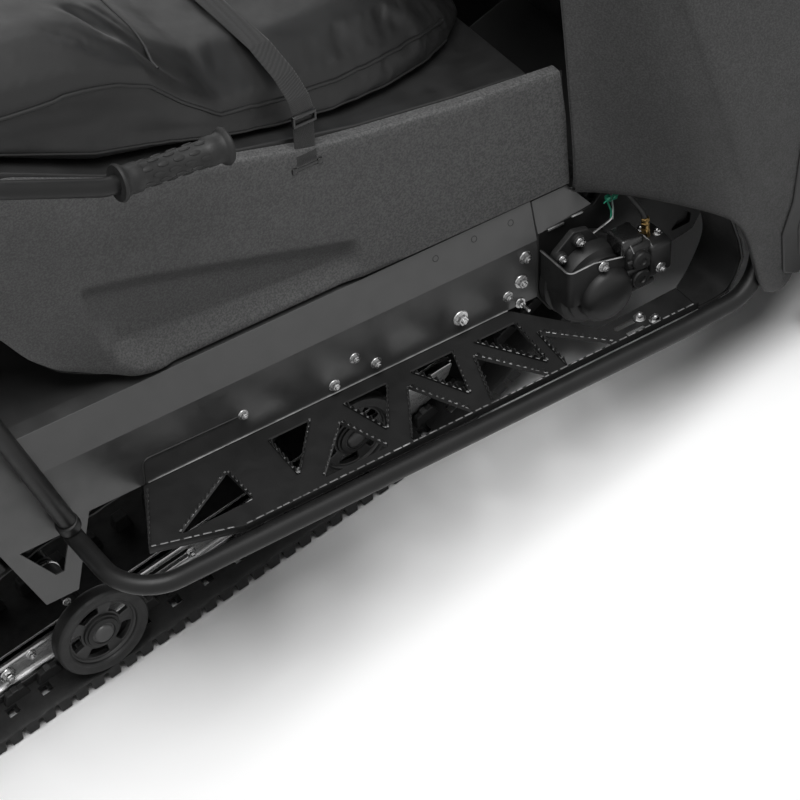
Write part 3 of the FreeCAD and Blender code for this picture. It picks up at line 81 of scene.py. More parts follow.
class Shader:
    """A Principled material whose colour, roughness and bump come from noise in object space."""

    def __init__(self, name, colour, rough, metal=0.0):
        self.material = bpy.data.materials.new(name)
        self.material.use_nodes = True
        self.tree = self.material.node_tree
        self.bsdf = self.tree.nodes["Principled BSDF"]
        self.bsdf.inputs["Base Color"].default_value = linear(colour)
        self.bsdf.inputs["Roughness"].default_value = rough
        self.bsdf.inputs["Metallic"].default_value = metal
        self.coords = self.add("ShaderNodeTexCoord").outputs["Object"]
        self.height = None

    def add(self, kind, **settings):
        node = self.tree.nodes.new(kind)
        for field, setting in settings.items():
            setattr(node, field, setting)
        return node

    def link(self, source, target):
        self.tree.links.new(source, target)

    def stretched(self, scale):
        """Object coordinates, scaled by a vector."""
        mapping = self.add("ShaderNodeMapping")
        mapping.inputs["Scale"].default_value = scale
        self.link(self.coords, mapping.inputs["Vector"])
        return mapping.outputs["Vector"]

    def noise(self, scale, detail=2.0, rough=0.5, stretch=None):
        node = self.add("ShaderNodeTexNoise")
        node.inputs["Scale"].default_value = scale
        node.inputs["Detail"].default_value = detail
        node.inputs["Roughness"].default_value = rough
        self.link(self.stretched(stretch) if stretch else self.coords, node.inputs["Vector"])
        return node.outputs["Fac"]

    def cells(self, scale):
        node = self.add("ShaderNodeTexVoronoi")
        node.inputs["Scale"].default_value = scale
        self.link(self.coords, node.inputs["Vector"])
        return node.outputs["Distance"]

    def spread(self, factor, low, high, start=0.3, end=0.7):
        """Maps a factor onto a range of numbers."""
        node = self.add("ShaderNodeMapRange")
        for field, number in (("From Min", start), ("From Max", end), ("To Min", low), ("To Max", high)):
            node.inputs[field].default_value = number
        self.link(factor, node.inputs["Value"])
        return node.outputs["Result"]

    def blend_colour(self, factor, low, high, start=0.35, end=0.65):
        ramp = self.add("ShaderNodeValToRGB")
        ramp.color_ramp.elements[0].position = start
        ramp.color_ramp.elements[1].position = end
        ramp.color_ramp.elements[0].color = linear(low)
        ramp.color_ramp.elements[1].color = linear(high)
        self.link(factor, ramp.inputs["Fac"])
        self.link(ramp.outputs["Color"], self.bsdf.inputs["Base Color"])
        return self

    def vary_rough(self, factor, low, high):
        self.link(self.spread(factor, low, high), self.bsdf.inputs["Roughness"])
        return self

    def bump(self, factor, depth, strength=1.0):
        """Adds one more layer of relief, depth in metres."""
        node = self.add("ShaderNodeBump")
        node.inputs["Distance"].default_value = depth
        node.inputs["Strength"].default_value = strength
        self.link(factor, node.inputs["Height"])
        if self.height:
            self.link(self.height, node.inputs["Normal"])
        self.height = node.outputs["Normal"]
        self.link(self.height, self.bsdf.inputs["Normal"])
        return self

    def set(self, **inputs):
        for field, number in inputs.items():
            self.bsdf.inputs[field.replace("_", " ")].default_value = number
        return self


def grained_plastic(name, low, high, rough=0.5, grain=520, depth=0.0006):
    """Moulded plastic with a leather-like grain, a little paler on the crests."""
    s = Shader(name, low, rough)
    s.blend_colour(s.noise(grain * 0.8, 3, 0.6), low, high, 0.4, 0.62)
    s.vary_rough(s.noise(60, 4), rough - 0.06, rough + 0.08)
    s.bump(s.cells(grain), depth, 0.7)
    return s.bump(s.noise(grain * 1.7, 2), depth * 0.5, 0.6).set(Specular_IOR_Level=0.45).material


def smooth_plastic(name, low, high, rough=0.38):
    s = Shader(name, low, rough)
    s.blend_colour(s.noise(7, 3), low, high)
    s.vary_rough(s.noise(35, 5), rough - 0.05, rough + 0.08)
    return s.bump(s.noise(900, 2), 0.00008, 0.5).material


def coated_metal(name, low, high, rough=0.42, speck=1400, shine=0.5):
    """Powder coat: an even colour with a fine orange-peel and a few rubbed places."""
    s = Shader(name, low, rough)
    s.blend_colour(s.noise(9, 4), low, high)
    s.vary_rough(s.noise(45, 4), rough - 0.07, rough + 0.07)
    return s.bump(s.noise(speck, 1.5), 0.00012, 0.6).set(Specular_IOR_Level=shine).material


def vinyl(name, low, high):
    s = Shader(name, low, 0.5)
    s.blend_colour(s.noise(6, 3), low, high)
    s.vary_rough(s.noise(30, 4), 0.44, 0.58)
    s.bump(s.cells(900), 0.0002, 0.35)
    s.bump(s.noise(22, 3), 0.0016, 0.3)
    return s.set(Coat_Weight=0.05, Coat_Roughness=0.4, Specular_IOR_Level=0.4).material


def rubber(name, low, high, rough=0.66):
    s = Shader(name, low, rough)
    s.blend_colour(s.noise(18, 5, 0.6), low, high)
    s.vary_rough(s.noise(80, 4), rough - 0.1, rough + 0.12)
    return s.bump(s.noise(420, 4), 0.0004, 0.5).set(Specular_IOR_Level=0.35).material


def bright_metal(name, low, high, rough, brush=None):
    """Bare metal, brushed along one axis if brush gives the stretch."""
    s = Shader(name, low, rough, 1.0)
    s.blend_colour(s.noise(26, 4, 0.6), low, high, 0.3, 0.7)
    s.vary_rough(s.noise(140, 3, stretch=brush), rough - 0.08, rough + 0.12)
    return s.bump(s.noise(260, 2, stretch=brush), 0.00012, 0.5).material


def webbing(name):
    s = Shader(name, 26, 0.8)
    wave = s.add("ShaderNodeTexWave", wave_type="BANDS", bands_direction="Z")
    wave.inputs["Scale"].default_value = 190
    wave.inputs["Distortion"].default_value = 0.6
    s.link(s.coords, wave.inputs["Vector"])
    s.blend_colour(wave.outputs["Fac"], 12, 26, 0.2, 0.8)
    s.bump(wave.outputs["Fac"], 0.0006, 0.8)
    return s.bump(s.noise(1500, 2), 0.0003, 0.6).set(Sheen_Weight=0.25).material


def clear_plastic(name, tint, rough=0.03, through=0.92):
    s = Shader(name, tint, rough)
    s.bump(s.noise(4, 1), 0.0001, 0.1)
    return s.set(Transmission_Weight=through, IOR=1.46).material


def glow_lens(name, low, high):
    s = Shader(name, low, 0.12)
    s.blend_colour(s.cells(160), low, high, 0.1, 0.6)
    return s.bump(s.cells(160), 0.0008, 0.5).set(Coat_Weight=0.8, Coat_Roughness=0.05).material


MATERIALS = {
    "side_plastic": grained_plastic("grained_side_plastic", 68, 104, 0.5, 520, 0.0002),
    "flank_plastic": grained_plastic("grained_flank_plastic", 48, 74, 0.55, 520, 0.0002),
    "body_plastic": grained_plastic("body_plastic", 46, 60, 0.42, 700, 0.0002),
    "gloss_plastic": smooth_plastic("smooth_plastic", 20, 26, 0.24),
    "cover_plastic": smooth_plastic("cover_plastic", 24, 31, 0.45),
    "tunnel": coated_metal("tunnel_coat", 55, 60, 0.38, shine=0.75),
    "frame": coated_metal("frame_coat", 22, 27, 0.42, shine=0.25),
    "board": coated_metal("board_coat", 20, 27, 0.5, 900, 0.3),
    "steel": coated_metal("dark_steel", 40, 54, 0.38),
    "cast": coated_metal("cast_case", 24, 33, 0.48, 500, 0.3),
    "vinyl": vinyl("seat_vinyl", 15, 20),
    "rubber": rubber("grip_rubber", 24, 32, 0.55),
    "track": rubber("track_rubber", 24, 36, 0.62),
    "tyre": rubber("wheel_rubber", 24, 34, 0.5),
    "alloy": bright_metal("rail_alloy", 176, 205, 0.3, brush=(1, 30, 30)),
    "zinc": bright_metal("zinc_plate", 150, 205, 0.26),
    # Bright rubbed metal: real wear on edges, and a painted highlight where it lines the tunnel's lower fold.
    "wear_and_highlight": bright_metal("worn_edge_and_highlight", 96, 190, 0.42),
    "brass": bright_metal("brass", (104, 86, 54), (150, 124, 80), 0.3),
    "cap_grey": smooth_plastic("cap_grey", 74, 92, 0.34),
    "webbing": webbing("strap_webbing"),
    "screen": clear_plastic("smoked_screen", (120, 126, 132)),
    "clear": clear_plastic("lamp_clear", (235, 238, 242)),
    "red": glow_lens("red_lens", (120, 8, 8), (176, 22, 16)),
    "mint": smooth_plastic("mint_clip", (52, 176, 140), (70, 200, 160), 0.4),
    "white_wire": smooth_plastic("pale_wire", (176, 196, 190), (214, 226, 220), 0.4),
}


# --------------------------------------------------------------------- helpers
def add_object(name, mesh, material, body, stands_for, smooth):
    """A finished piece: shaded, given its material and tied to a body."""
    obj = bpy.data.objects.new(name, mesh)
    bpy.context.scene.collection.objects.link(obj)
    if material:
        painted(mesh, material)
    mesh.polygons.foreach_set("use_smooth", [True] * len(mesh.polygons))
    mesh.set_sharp_from_angle(angle=math.radians(smooth))
    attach(obj, body)
    if stands_for:
        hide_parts(*stands_for)
    return obj


def mesh_from(build):
    """Runs a function on an empty bmesh and returns the mesh."""
    work = bmesh.new()
    build(work)
    mesh = bpy.data.meshes.new("mesh")
    work.to_mesh(mesh)
    work.free()
    return mesh


def join(meshes):
    """One mesh from several, each keeping its material slots by name."""
    work = bmesh.new()
    slots = []
    for mesh in meshes:
        start = len(work.faces)
        work.from_mesh(mesh)
        work.faces.ensure_lookup_table()
        own = list(mesh.materials) or [None]
        for face in work.faces[start:]:
            material = own[min(face.material_index, len(own) - 1)]
            if material not in slots:
                slots.append(material)
            face.material_index = slots.index(material)
    joined = bpy.data.meshes.new("joined")
    work.to_mesh(joined)
    work.free()
    for material in slots:
        joined.materials.append(material)
    return joined


def painted(mesh, material):
    mesh.materials.clear()
    mesh.materials.append(MATERIALS[material])
    return mesh


def moved(mesh, matrix):
    mesh.transform(matrix)
    if matrix.determinant() < 0:
        mesh.flip_normals()
    return mesh


def curve_mesh(curve):
    obj = bpy.data.objects.new("curve", curve)
    bpy.context.scene.collection.objects.link(obj)
    mesh = bpy.data.meshes.new_from_object(obj.evaluated_get(bpy.context.evaluated_depsgraph_get()))
    bpy.data.objects.remove(obj)
    bpy.data.curves.remove(curve)
    return mesh


def plate(outline, holes, start, thick, plane, bevel=0.6, steps=1):
    """A flat sheet with rounded edges and holes, from start on along the plane's normal."""
    curve = bpy.data.curves.new("plate", "CURVE")
    curve.dimensions = "2D"
    curve.fill_mode = "BOTH"
    curve.extrude = max(thick / 2 - bevel, 0.01)
    curve.bevel_depth = bevel
    curve.bevel_resolution = steps
    curve.offset = -bevel
    for ring in [outline] + list(holes):
        spline = curve.splines.new("POLY")
        spline.points.add(len(ring) - 1)
        for point, (across, up) in zip(spline.points, ring):
            point.co = (across, up, 0, 1)
        spline.use_cyclic_u = True
    mesh = curve_mesh(curve)
    mesh.transform(Matrix.Translation((0, 0, start + thick / 2)))
    mesh.transform(plane)
    return mesh


def rounded(points, radius, steps=4):
    """The outline with each corner turned into an arc. A radius of its own may follow a point."""
    ring = []
    count = len(points)
    for index, point in enumerate(points):
        here = Vector(point[:2])
        size = point[2] if len(point) > 2 else radius
        before, after = Vector(points[index - 1][:2]), Vector(points[(index + 1) % count][:2])
        back, on = (before - here), (after - here)
        reach_limit = 0.45 * min(back.length, on.length)
        back.normalize()
        on.normalize()
        half = back.angle(on) / 2
        if size < 0.01 or half > 1.56:
            ring.append(tuple(here))
            continue
        reach = min(size / math.tan(half), reach_limit)
        start, end = here + back * reach, here + on * reach
        for step in range(steps + 1):
            t = step / steps
            ring.append(tuple((1 - t) ** 2 * start + 2 * t * (1 - t) * here + t * t * end))
    return ring


def bent(points, bend, step=8):
    """A route of straight runs joined by tangent arcs."""
    corners = [Vector(point) for point in points]
    route = [corners[0]]
    for before, corner, after in zip(corners, corners[1:], corners[2:]):
        back, on = before - corner, after - corner
        limit = 0.48 * min(back.length, on.length)
        back.normalize()
        on.normalize()
        half = back.angle(on) / 2
        if half > 1.55:
            route.append(corner)
            continue
        reach = min(bend / math.tan(half), limit)
        radius = reach * math.tan(half)
        middle = (back + on).normalized()
        centre = corner + middle * (radius / math.sin(half))
        start = (corner + back * reach - centre).normalized()
        end = (corner + on * reach - centre).normalized()
        turns = max(2, int(math.degrees(start.angle(end)) / step))
        for turn in range(turns + 1):
            route.append(centre + start.slerp(end, turn / turns) * radius)
    return route + [corners[-1]]


def pipe(route, radius, sides=20):
    """A round bar along a route, with flat ends."""
    curve = bpy.data.curves.new("pipe", "CURVE")
    curve.dimensions = "3D"
    curve.bevel_depth = radius
    curve.bevel_resolution = max(1, sides // 4 - 1)
    curve.use_fill_caps = True
    spline = curve.splines.new("POLY")
    spline.points.add(len(route) - 1)
    for point, spot in zip(spline.points, route):
        point.co = (*spot, 1)
    return curve_mesh(curve)


def bridged(work, rings, close=True):
    """Faces between rows of points, each row joined up into a ring if close."""
    for low, high in zip(rings, rings[1:]):
        for column in range(len(low) if close else len(low) - 1):
            after = (column + 1) % len(low)
            work.faces.new((low[column], low[after], high[after], high[column]))


def lathe(profile, steps):
    """A turned shape about +Z from (radius, height) points; closed where a radius is 0."""
    def build(work):
        rings = []
        for radius, height in profile:
            if radius <= 0:
                rings.append([work.verts.new((0, 0, height))])
                continue
            angles = (2 * math.pi * turn / steps for turn in range(steps))
            rings.append([work.verts.new((radius * math.cos(a), radius * math.sin(a), height))
                          for a in angles])
        for low, high in zip(rings, rings[1:]):
            for turn in range(steps):
                after = (turn + 1) % steps
                corners = [low[turn % len(low)], low[after % len(low)], high[after % len(high)],
                           high[turn % len(high)]]
                unique = list(dict.fromkeys(corners))
                if len(unique) > 2:
                    work.faces.new(unique)
        bmesh.ops.recalc_face_normals(work, faces=work.faces)
    return mesh_from(build)


def aim(spot, way):
    """A matrix that puts +Z along a direction at a spot."""
    turn = Vector((0, 0, 1)).rotation_difference(Vector(way).normalized())
    return Matrix.Translation(Vector(spot)) @ turn.to_matrix().to_4x4()


def turned(profile, steps, look, spot, way):
    """A turned and painted shape whose axis points along a direction from a spot."""
    return moved(painted(lathe(profile, steps), look), aim(spot, way))


def standing(start, way):
    """A matrix that stands an outline on edge, running from a start on the level along a direction."""
    return Matrix(((way.x, 0, way.y, start[0]), (way.y, 0, -way.x, start[1]), (0, 1, 0, 0), (0, 0, 0, 1)))


def box(low, high, bevel=1.0, segments=2):
    """A block with rounded edges."""
    low, high = Vector(low), Vector(high)

    def build(work):
        bmesh.ops.create_cube(work, size=1.0)
        size = high - low
        middle = (high + low) / 2
        for vert in work.verts:
            vert.co = Vector((vert.co.x * size.x, vert.co.y * size.y, vert.co.z * size.z)) + middle
        if bevel:
            bmesh.ops.bevel(work, geom=work.edges[:], offset=bevel, segments=segments, affect="EDGES",
                            profile=0.5)
    return mesh_from(build)


def hexagon(radius, height):
    """A hexagon bolt head standing on z = 0."""
    def build(work):
        rings = []
        for share, level in ((1.0, 0.0), (1.0, height * 0.8), (0.88, height)):
            angles = [math.pi / 3 * side for side in range(6)]
            rings.append([work.verts.new((radius * share * math.cos(a), radius * share * math.sin(a), level))
                          for a in angles])
        bridged(work, rings)
        work.faces.new(rings[-1])
        work.faces.new(list(reversed(rings[0])))
    return mesh_from(build)


def bolt(spot, way, size, stud=0.0):
    """A hexagon head on its washer, with the thread's end on top."""
    lift = size * 0.28
    top = lift + size * 0.95
    washer = [(0, 0), (size * 1.45, 0), (size * 1.5, lift * 0.5), (size * 1.4, lift), (0, lift)]
    head = moved(hexagon(size, size * 0.95), Matrix.Translation((0, 0, lift)))
    thread = [(0, top), (size * 0.5, top), (size * 0.5, top + size * 0.25 + stud),
              (size * 0.38, top + size * 0.35 + stud), (0, top + size * 0.35 + stud)]
    return moved(painted(join([lathe(washer, 24), head, lathe(thread, 16)]), "zinc"), aim(spot, way))


def coil(start, end, radius, wire, turns):
    """A helical spring between two points."""
    start, end = Vector(start), Vector(end)
    turn = Vector((0, 0, 1)).rotation_difference((end - start).normalized())
    length = (end - start).length
    count = int(turns * 20)
    route = []
    for index in range(count + 1):
        angle = 2 * math.pi * turns * index / count
        share = index / count
        route.append(start + turn @ Vector((radius * math.cos(angle), radius * math.sin(angle),
                                            length * share)))
    return pipe(route, wire, 10)


def sheet(rows, smooth=0, thick=0.0, close=False):
    """A surface through a grid of points, subdivided, and made thick away from its normal."""
    def build(work):
        bridged(work, [[work.verts.new(point) for point in row] for row in rows], close)
    return modified(mesh_from(build), smooth, thick)


def modified(mesh, smooth=0, thick=0.0, crease_bevel=0.0):
    """Applies subdivision and thickness to a mesh."""
    obj = bpy.data.objects.new("work", mesh)
    bpy.context.scene.collection.objects.link(obj)
    if smooth:
        levels = obj.modifiers.new("smooth", "SUBSURF")
        levels.levels = levels.render_levels = smooth
    if thick:
        shell = obj.modifiers.new("shell", "SOLIDIFY")
        shell.thickness = thick
        shell.offset = -1
        shell.use_even_offset = True
    if crease_bevel:
        edge = obj.modifiers.new("edge", "BEVEL")
        edge.width = crease_bevel
        edge.segments = 2
        edge.limit_method = "ANGLE"
        edge.angle_limit = math.radians(35)
    result = bpy.data.meshes.new_from_object(obj.evaluated_get(bpy.context.evaluated_depsgraph_get()))
    bpy.data.objects.remove(obj)
    return result


def dressed(node, material, bevel, body, smooth):
    """A copy of a CAD node with its edges rounded, in the node's place."""
    mesh = NODES[node].data.copy()
    work = bmesh.new()
    work.from_mesh(mesh)
    bmesh.ops.remove_doubles(work, verts=work.verts, dist=0.00002)
    bmesh.ops.dissolve_limit(work, angle_limit=math.radians(1.0), verts=work.verts, edges=work.edges)
    work.to_mesh(mesh)
    work.free()
    if bevel:
        mesh = modified(mesh, crease_bevel=bevel * MM)
    return add_object(node + "_skin", mesh, material, body, (node,), smooth)


# ------------------------------------------------------------ plain-dress nodes
# The nodes that have no finer piece, each with its material and the rounding of its edges.
DRESS = {
    "tunnel": ("tunnel", 0.5), "bulkhead": ("frame", 1.0), "engine_block": ("cast", 6.0),
    "steering_bearing": ("frame", 1.2), "seat_box": ("cover_plastic", 2.0), "rear_rack": ("frame", 0),
    "rear_bumper": ("frame", 0), "snow_flap": ("rubber", 1.0), "tail_light": ("red", 2.5),
    "tow_hitch": ("steel", 1.2), "slide_shoes": ("cover_plastic", 1.0), "drive_axle": ("steel", 1.5),
    "steering_post": ("steel", 1.5), "handlebar": ("steel", 0), "levers": ("cast", 2.0),
    "belly_pan": ("cover_plastic", 1.2), "nose_grille": ("gloss_plastic", 1.0), "headlights": ("clear", 1.5),
    "windshield": ("screen", 1.2), "front_bumper": ("frame", 0),
}
DRESS_IN_PAIRS = {"spindle": ("steel", 1.5), "tie_rod": ("zinc", 0.5), "a_arms": ("steel", 0),
                  "ski": ("gloss_plastic", 1.5)}
BODY_OF = {"steering_post": "steering", "handlebar": "steering", "levers": "steering"}
# Nodes of folded sheet, whose shallow folds stay crisp: the angle from which an edge is sharp.
FOLDED = {"tunnel": 9}


def dress_rest():
    """Every node that has no finer piece gets a rounded copy of its CAD shape."""
    for node, (material, bevel) in DRESS.items():
        dressed(node, material, bevel, BODY_OF.get(node, "chassis"), FOLDED.get(node, 35))
    for side, _ in SIDES:
        for piece, (material, bevel) in DRESS_IN_PAIRS.items():
            node = f"{piece}_{side}"
            dressed(node, material, bevel, "chassis" if piece == "a_arms" else node, 35)


# ------------------------------------------------------------ pieces in pairs
SIDES = (("right", Matrix.Identity(4)), ("left", MIRROR))


def put(name, mesh, material=None, stands_for=(), body="chassis", frame_matrix=LEAN, smooth=35):
    """A piece drawn in millimetres, in the chassis frame unless another is given."""
    return add_object(name, moved(mesh, frame_matrix), material, body, stands_for, smooth)


def put_pair(name, mesh, material=None, stands_for=(), frame_matrix=LEAN, smooth=35):
    """The right-hand piece as drawn and its mirror image. Names of pieces and nodes end in right and left."""
    for side, flip in SIDES:
        nodes = [f"{node}_{side}" for node in stands_for]
        put(f"{name}_{side}", moved(mesh.copy(), flip), material, nodes, "chassis", frame_matrix, smooth)


# -------------------------------------------------------------- running boards
OUTWARD_HOLES = ((-566, -673, -565, 40, 40), (-403, -476, -379, 48, 20), (-297, -350, -257, 44, 10),
                 (-196, -228, -139, 45, 8), (-104, -111, -34, 56, 8))
INWARD_HOLES = ((-498, -494, -430, 41, 21), (-363, -382, -313, 44, 21), (-241, -280, -212, 37, 21),
                (-126, -182, -116, 27, 23))
BOARD_Z = 3.0
BOARD_REAR = -662.0
BOARD_FRONT = 95.0


def board_triangles():
    """The same triangles as the board's solid, as (tip, base corner, base corner)."""
    inner, outer = -TUNNEL_HALF, -BOARD_EDGE
    for tip, rear, front, tip_in, base_in in OUTWARD_HOLES:
        yield (tip, inner - tip_in), (rear, outer + base_in), (front, outer + base_in)
    for tip, rear, front, tip_in, base_in in INWARD_HOLES:
        yield (tip, outer + tip_in), (rear, inner - base_in), (front, inner - base_in)


def dashes(start, end, low, high, half, long, gap):
    """Short bright bars along a line, where paint is rubbed off an edge; low and high are heights."""
    start, end = Vector(start), Vector(end)
    length = (end - start).length
    stand = standing(start, (end - start).normalized())
    bars, spot, step = [], 3.0, 0
    while spot < length - long - 2:
        reach = long * (0.55 + 0.65 * abs(math.sin(step * 2.3 + length)))
        bars.append(moved(box((spot, low, -half), (spot + reach, high, half), 0.25, 1), stand))
        spot += reach + gap * (0.5 + abs(math.cos(step * 1.7 + length)))
        step += 1
    return [painted(bar, "wear_and_highlight") for bar in bars]


def saw_flange(start, end, tall=8.8, pitch=9.8, thick=1.8):
    """A toothed strip that stands along a hole's edge, bright where it meets the plate."""
    start, end = Vector(start), Vector(end)
    run = end - start
    length = run.length
    count = max(2, int((length - 6) / pitch))
    lead = (length - count * pitch) / 2
    outline = [(lead - 2, -BOARD_Z), (lead - 2, 2.8)]
    for tooth in range(count):
        left = lead + tooth * pitch
        outline += [(left + 0.6, 3.0), (left + 3.4, tall), (left + 5.4, tall), (left + 8.6, 3.0)]
    outline += [(length - lead + 2, 2.8), (length - lead + 2, -BOARD_Z)]
    strip = painted(plate(outline, [], -thick / 2, thick, standing(start, run.normalized()), 0.3), "board")
    return [strip] + dashes(start, end, 2.8, 3.6, thick / 2 + 0.3, 4.6, 4.2)


def board_mesh():
    edge, rear, side = -BOARD_EDGE, BOARD_REAR, -TUNNEL_HALF - 0.3
    outline = [(rear, side, 6), (-108, side, 10), (-33, -369, 14), (BOARD_FRONT, -364, 2),
               (BOARD_FRONT, edge, 2), (rear + 60, edge, 20), (rear - 55, -376, 8)]
    holes = [rounded(corners, 3.2) for corners in board_triangles()]
    slots = [rounded([(low, y - 4), (high, y - 4), (high, y + 4), (low, y + 4)], 3.9)
             for low, high, y in ((-20, 12, -384), (-13, 17, -400))]
    parts = [painted(plate(rounded(outline, 4), holes + slots, -BOARD_Z, BOARD_Z, FLOOR_PLANE, 0.5), "board")]
    for tip, rear_corner, front_corner in board_triangles():
        for corner in (rear_corner, front_corner):
            parts += saw_flange(tip, corner)
    parts += saw_flange((rear + 1, side - 8), (rear - 52, -372))
    return join(parts)


def board_lip_mesh():
    """The turned-up outer edge, with its paint rubbed through along the top."""
    route = [(BOARD_REAR - 54, -375), (BOARD_REAR + 60, -BOARD_EDGE + 1.3), (BOARD_FRONT, -BOARD_EDGE + 1.3)]
    parts = []
    for start, end in zip(route, route[1:]):
        run = Vector(end) - Vector(start)
        strip = box((0, -BOARD_Z, -1.2), (run.length, 8.6, 1.2), 0.6)
        parts.append(painted(moved(strip, standing(start, run.normalized())), "board"))
        parts += dashes(start, end, 8.2, 9.1, 1.0, 10.0, 3.4)
    return join(parts)


def toe_mesh():
    """The folded toe piece, dished, with a bright rubbed rim."""
    edge = -BOARD_EDGE
    # Points of the toe's line, as (along, up, inner edge).
    line = [(BOARD_FRONT - 1, -1.5, -365), (120, -0.5, -352), (143, 3, -338), (156, 24, -337),
            (164, 50, -337), (158, 80, -337), (147, 112, -337), (132, 149, -337)]
    rows = []
    for x, z, inner in line:
        share = max(0.0, min(1.0, (z + 2) / 120))
        rows.append([(x - 9 * math.sin(math.pi * part) * share, edge + (inner - edge) * part, z) for part in
                     (0, 0.06, 0.2, 0.4, 0.6, 0.8, 0.94, 1)])
    skin = painted(sheet(rows, 2, 3.0), "board")
    inner_rim = pipe([Vector((x, inner, z)) for x, z, inner in line], 1.7, 10)
    outer_rim = pipe([Vector((x, edge, z)) for x, z, inner in line], 2.1, 10)
    return join([skin, painted(inner_rim, "wear_and_highlight"), painted(outer_rim, "board")])


def make_running_boards():
    put_pair("board_plate", board_mesh(), None, ["running_board"])
    put_pair("board_lip", board_lip_mesh())
    put_pair("board_toe", toe_mesh(), smooth=50)
    bolts = [bolt((x, y, 0), (0, 0, 1), 5.6) for x, y in ((20, -384), (34, -399))]
    put_pair("board_bolts", join(bolts))


# -------------------------------------------------------------------- tunnel
# (along, up, size of head, length of stud) of the fasteners on the tunnel's side
SIDE_BOLTS = ((-184, 27, 7.6, 0), (-379, 15, 5.6, 0), (-347, 44, 5.2, 0), (-315, 19, 5.6, 0),
              (-514, 38, 5.0, 0), (-81, 77, 6.4, 0), (-88, 40, 6.8, 0), (-109, 25, 5.2, 0),
              (-89, 4, 5.2, 12))


def make_tunnel_trim():
    side = -TUNNEL_HALF
    bolts = [bolt((x, side, z), (0, -1, 0), size, stud=stud) for x, z, size, stud in SIDE_BOLTS]
    rear_spots = ((-900, 40), (-1120, 40), (-1420, 40), (-1640, 48))
    rear_bolts = [bolt((x, side, z), (0, -1, 0), 5.2) for x, z in rear_spots]
    put_pair("tunnel_bolts", join(bolts + rear_bolts))
    slope = Vector((0, -math.cos(math.radians(15.5)), math.sin(math.radians(15.5))))
    # Each hole in the band is drawn as a closed dark rubber disc with a raised rim: painted shade standing in
    # for the dark inside seen through a hole.
    holes = []
    for x, z in ((-213, 133), (-153, 135), (-96, 134), (-1500, 130), (-1300, 130)):
        y = side + (z - TUNNEL_SIDE) * 15 / 54
        ring = [(0, -0.6), (3.4, -0.6), (3.7, 0.15), (4.4, 0.3), (4.6, 0)]
        holes.append(turned(ring, 20, "rubber", (x, y, z), slope))
    put_pair("tunnel_hole_shade_discs", join(holes))
    slit = bent([(-659, side - 0.3, 2), (-659, side - 0.3, 41), (-521, side - 0.3, 38)], 9)
    seam = [(-61, side - 0.3, 2), (-61, side - 0.3, TUNNEL_SIDE - 1), (-61, side + 14.4, TUNNEL_TALL - 4)]
    # The bright bar along the foot of the side is a painted highlight: it stands in for the light caught on
    # the bend where the side folds into the board.
    fold = [(-655, side - 0.6, 1.4), (-110, side - 0.6, 1.4)]
    lines = ((slit, 1.3, "rubber"), (seam, 1.1, "rubber"), (fold, 1.1, "wear_and_highlight"))
    put_pair("tunnel_lines_and_fold_highlight", join([painted(pipe(route, size, 8), look) for route, size, look in lines]))


# ------------------------------------------------------------------------ grips
def grip_mesh(length, radius, collar):
    """A moulded handle along +Z: flanges at both ends and ribs with oval pads between them."""
    hole = 11.2
    profile = [(hole, -3), (collar, -3), (collar + 1.4, -0.5), (collar, 3), (collar - 2.4, 4.6),
               (radius + 2.6, 6), (radius + 1.6, 11), (radius + 2.1, 15), (radius + 2.1, 24),
               (radius + 0.9, 26), (radius, 28)]
    back = [(r, length - z) for r, z in reversed(profile[1:])]
    parts = [lathe(profile + [(radius - 0.3, length / 2)] + back + [(hole, length + 3)], 56)]
    for row in range(10):
        angle = 2 * math.pi * row / 10
        for column in range(4):
            high = 38 + column * (length - 76) / 3 + (6 if row % 2 else -6)
            pad = lathe([(0, 1.5), (3.0, 1.4), (4.6, 0.8), (5.2, -1.6)], 20)
            stretch = Matrix.Diagonal((0.62, 1.55, 1.0, 1.0))
            out = Vector((math.cos(angle), math.sin(angle), 0))
            across = Vector((-math.sin(angle), math.cos(angle), 0))
            turn = Matrix(((across.x, 0, out.x, 0), (across.y, 0, out.y, 0), (0, 1, 0, 0), (0, 0, 0, 1)))
            spot = Matrix.Translation(out * (radius - 0.2) + Vector((0, 0, high)))
            parts.append(moved(pad, spot @ turn @ stretch))
    return join(parts)


# ------------------------------------------------------------------------ strap
STRAP_X, STRAP_WIDE, STRAP_THICK = -394.0, 30.0, 2.2
STRAP_HALF = ((-257.3, 366), (-257.6, 410), (-257.2, 448), (-250, 460), (-221, 476.5), (-168, 488.5),
              (-80, 490.2), (0, 490.6))
# The flat hook and the buckle: material, rounding and two corners, with x from the strap's middle.
STRAP_HOOK = (
    ("gloss_plastic", 2.4, (-21, -262.5, 363), (21, -256.8, 369)),
    ("gloss_plastic", 2.2, (-22, -263.5, 361.5), (-14, -256.4, 371)),
    ("gloss_plastic", 2.2, (14, -263.5, 361.5), (22, -256.4, 371)),
    ("webbing", 1.0, (-14.6, -261.2, 370), (14.6, -257.2, 386)),
    ("gloss_plastic", 1.6, (-16.5, -262.6, 428), (16.5, -256.6, 433)),
    ("gloss_plastic", 1.6, (-16.5, -262.6, 440), (16.5, -256.6, 445)),
    ("gloss_plastic", 1.2, (-16.5, -262.2, 428), (-13.2, -257, 445)),
    ("gloss_plastic", 1.2, (13.2, -262.2, 428), (16.5, -257, 445)),
)


def strap_row(before, spot, after, wave):
    """One closed section of the webbing, square to its run, with a thin edge on both sides."""
    run = (after - before).normalized()
    out = Vector((0, -run.z, run.y))
    half, lift = STRAP_WIDE / 2, STRAP_THICK / 2
    section = ((-half, 0), (-half + 1.2, lift), (-5, lift + 0.4), (0, lift), (5, lift + 0.4),
               (half - 1.2, lift), (half, 0), (half - 1.2, -lift), (-half + 1.2, -lift))
    return [tuple(Vector((STRAP_X + across, 0, 0)) + spot + out * (level + wave))
            for across, level in section]


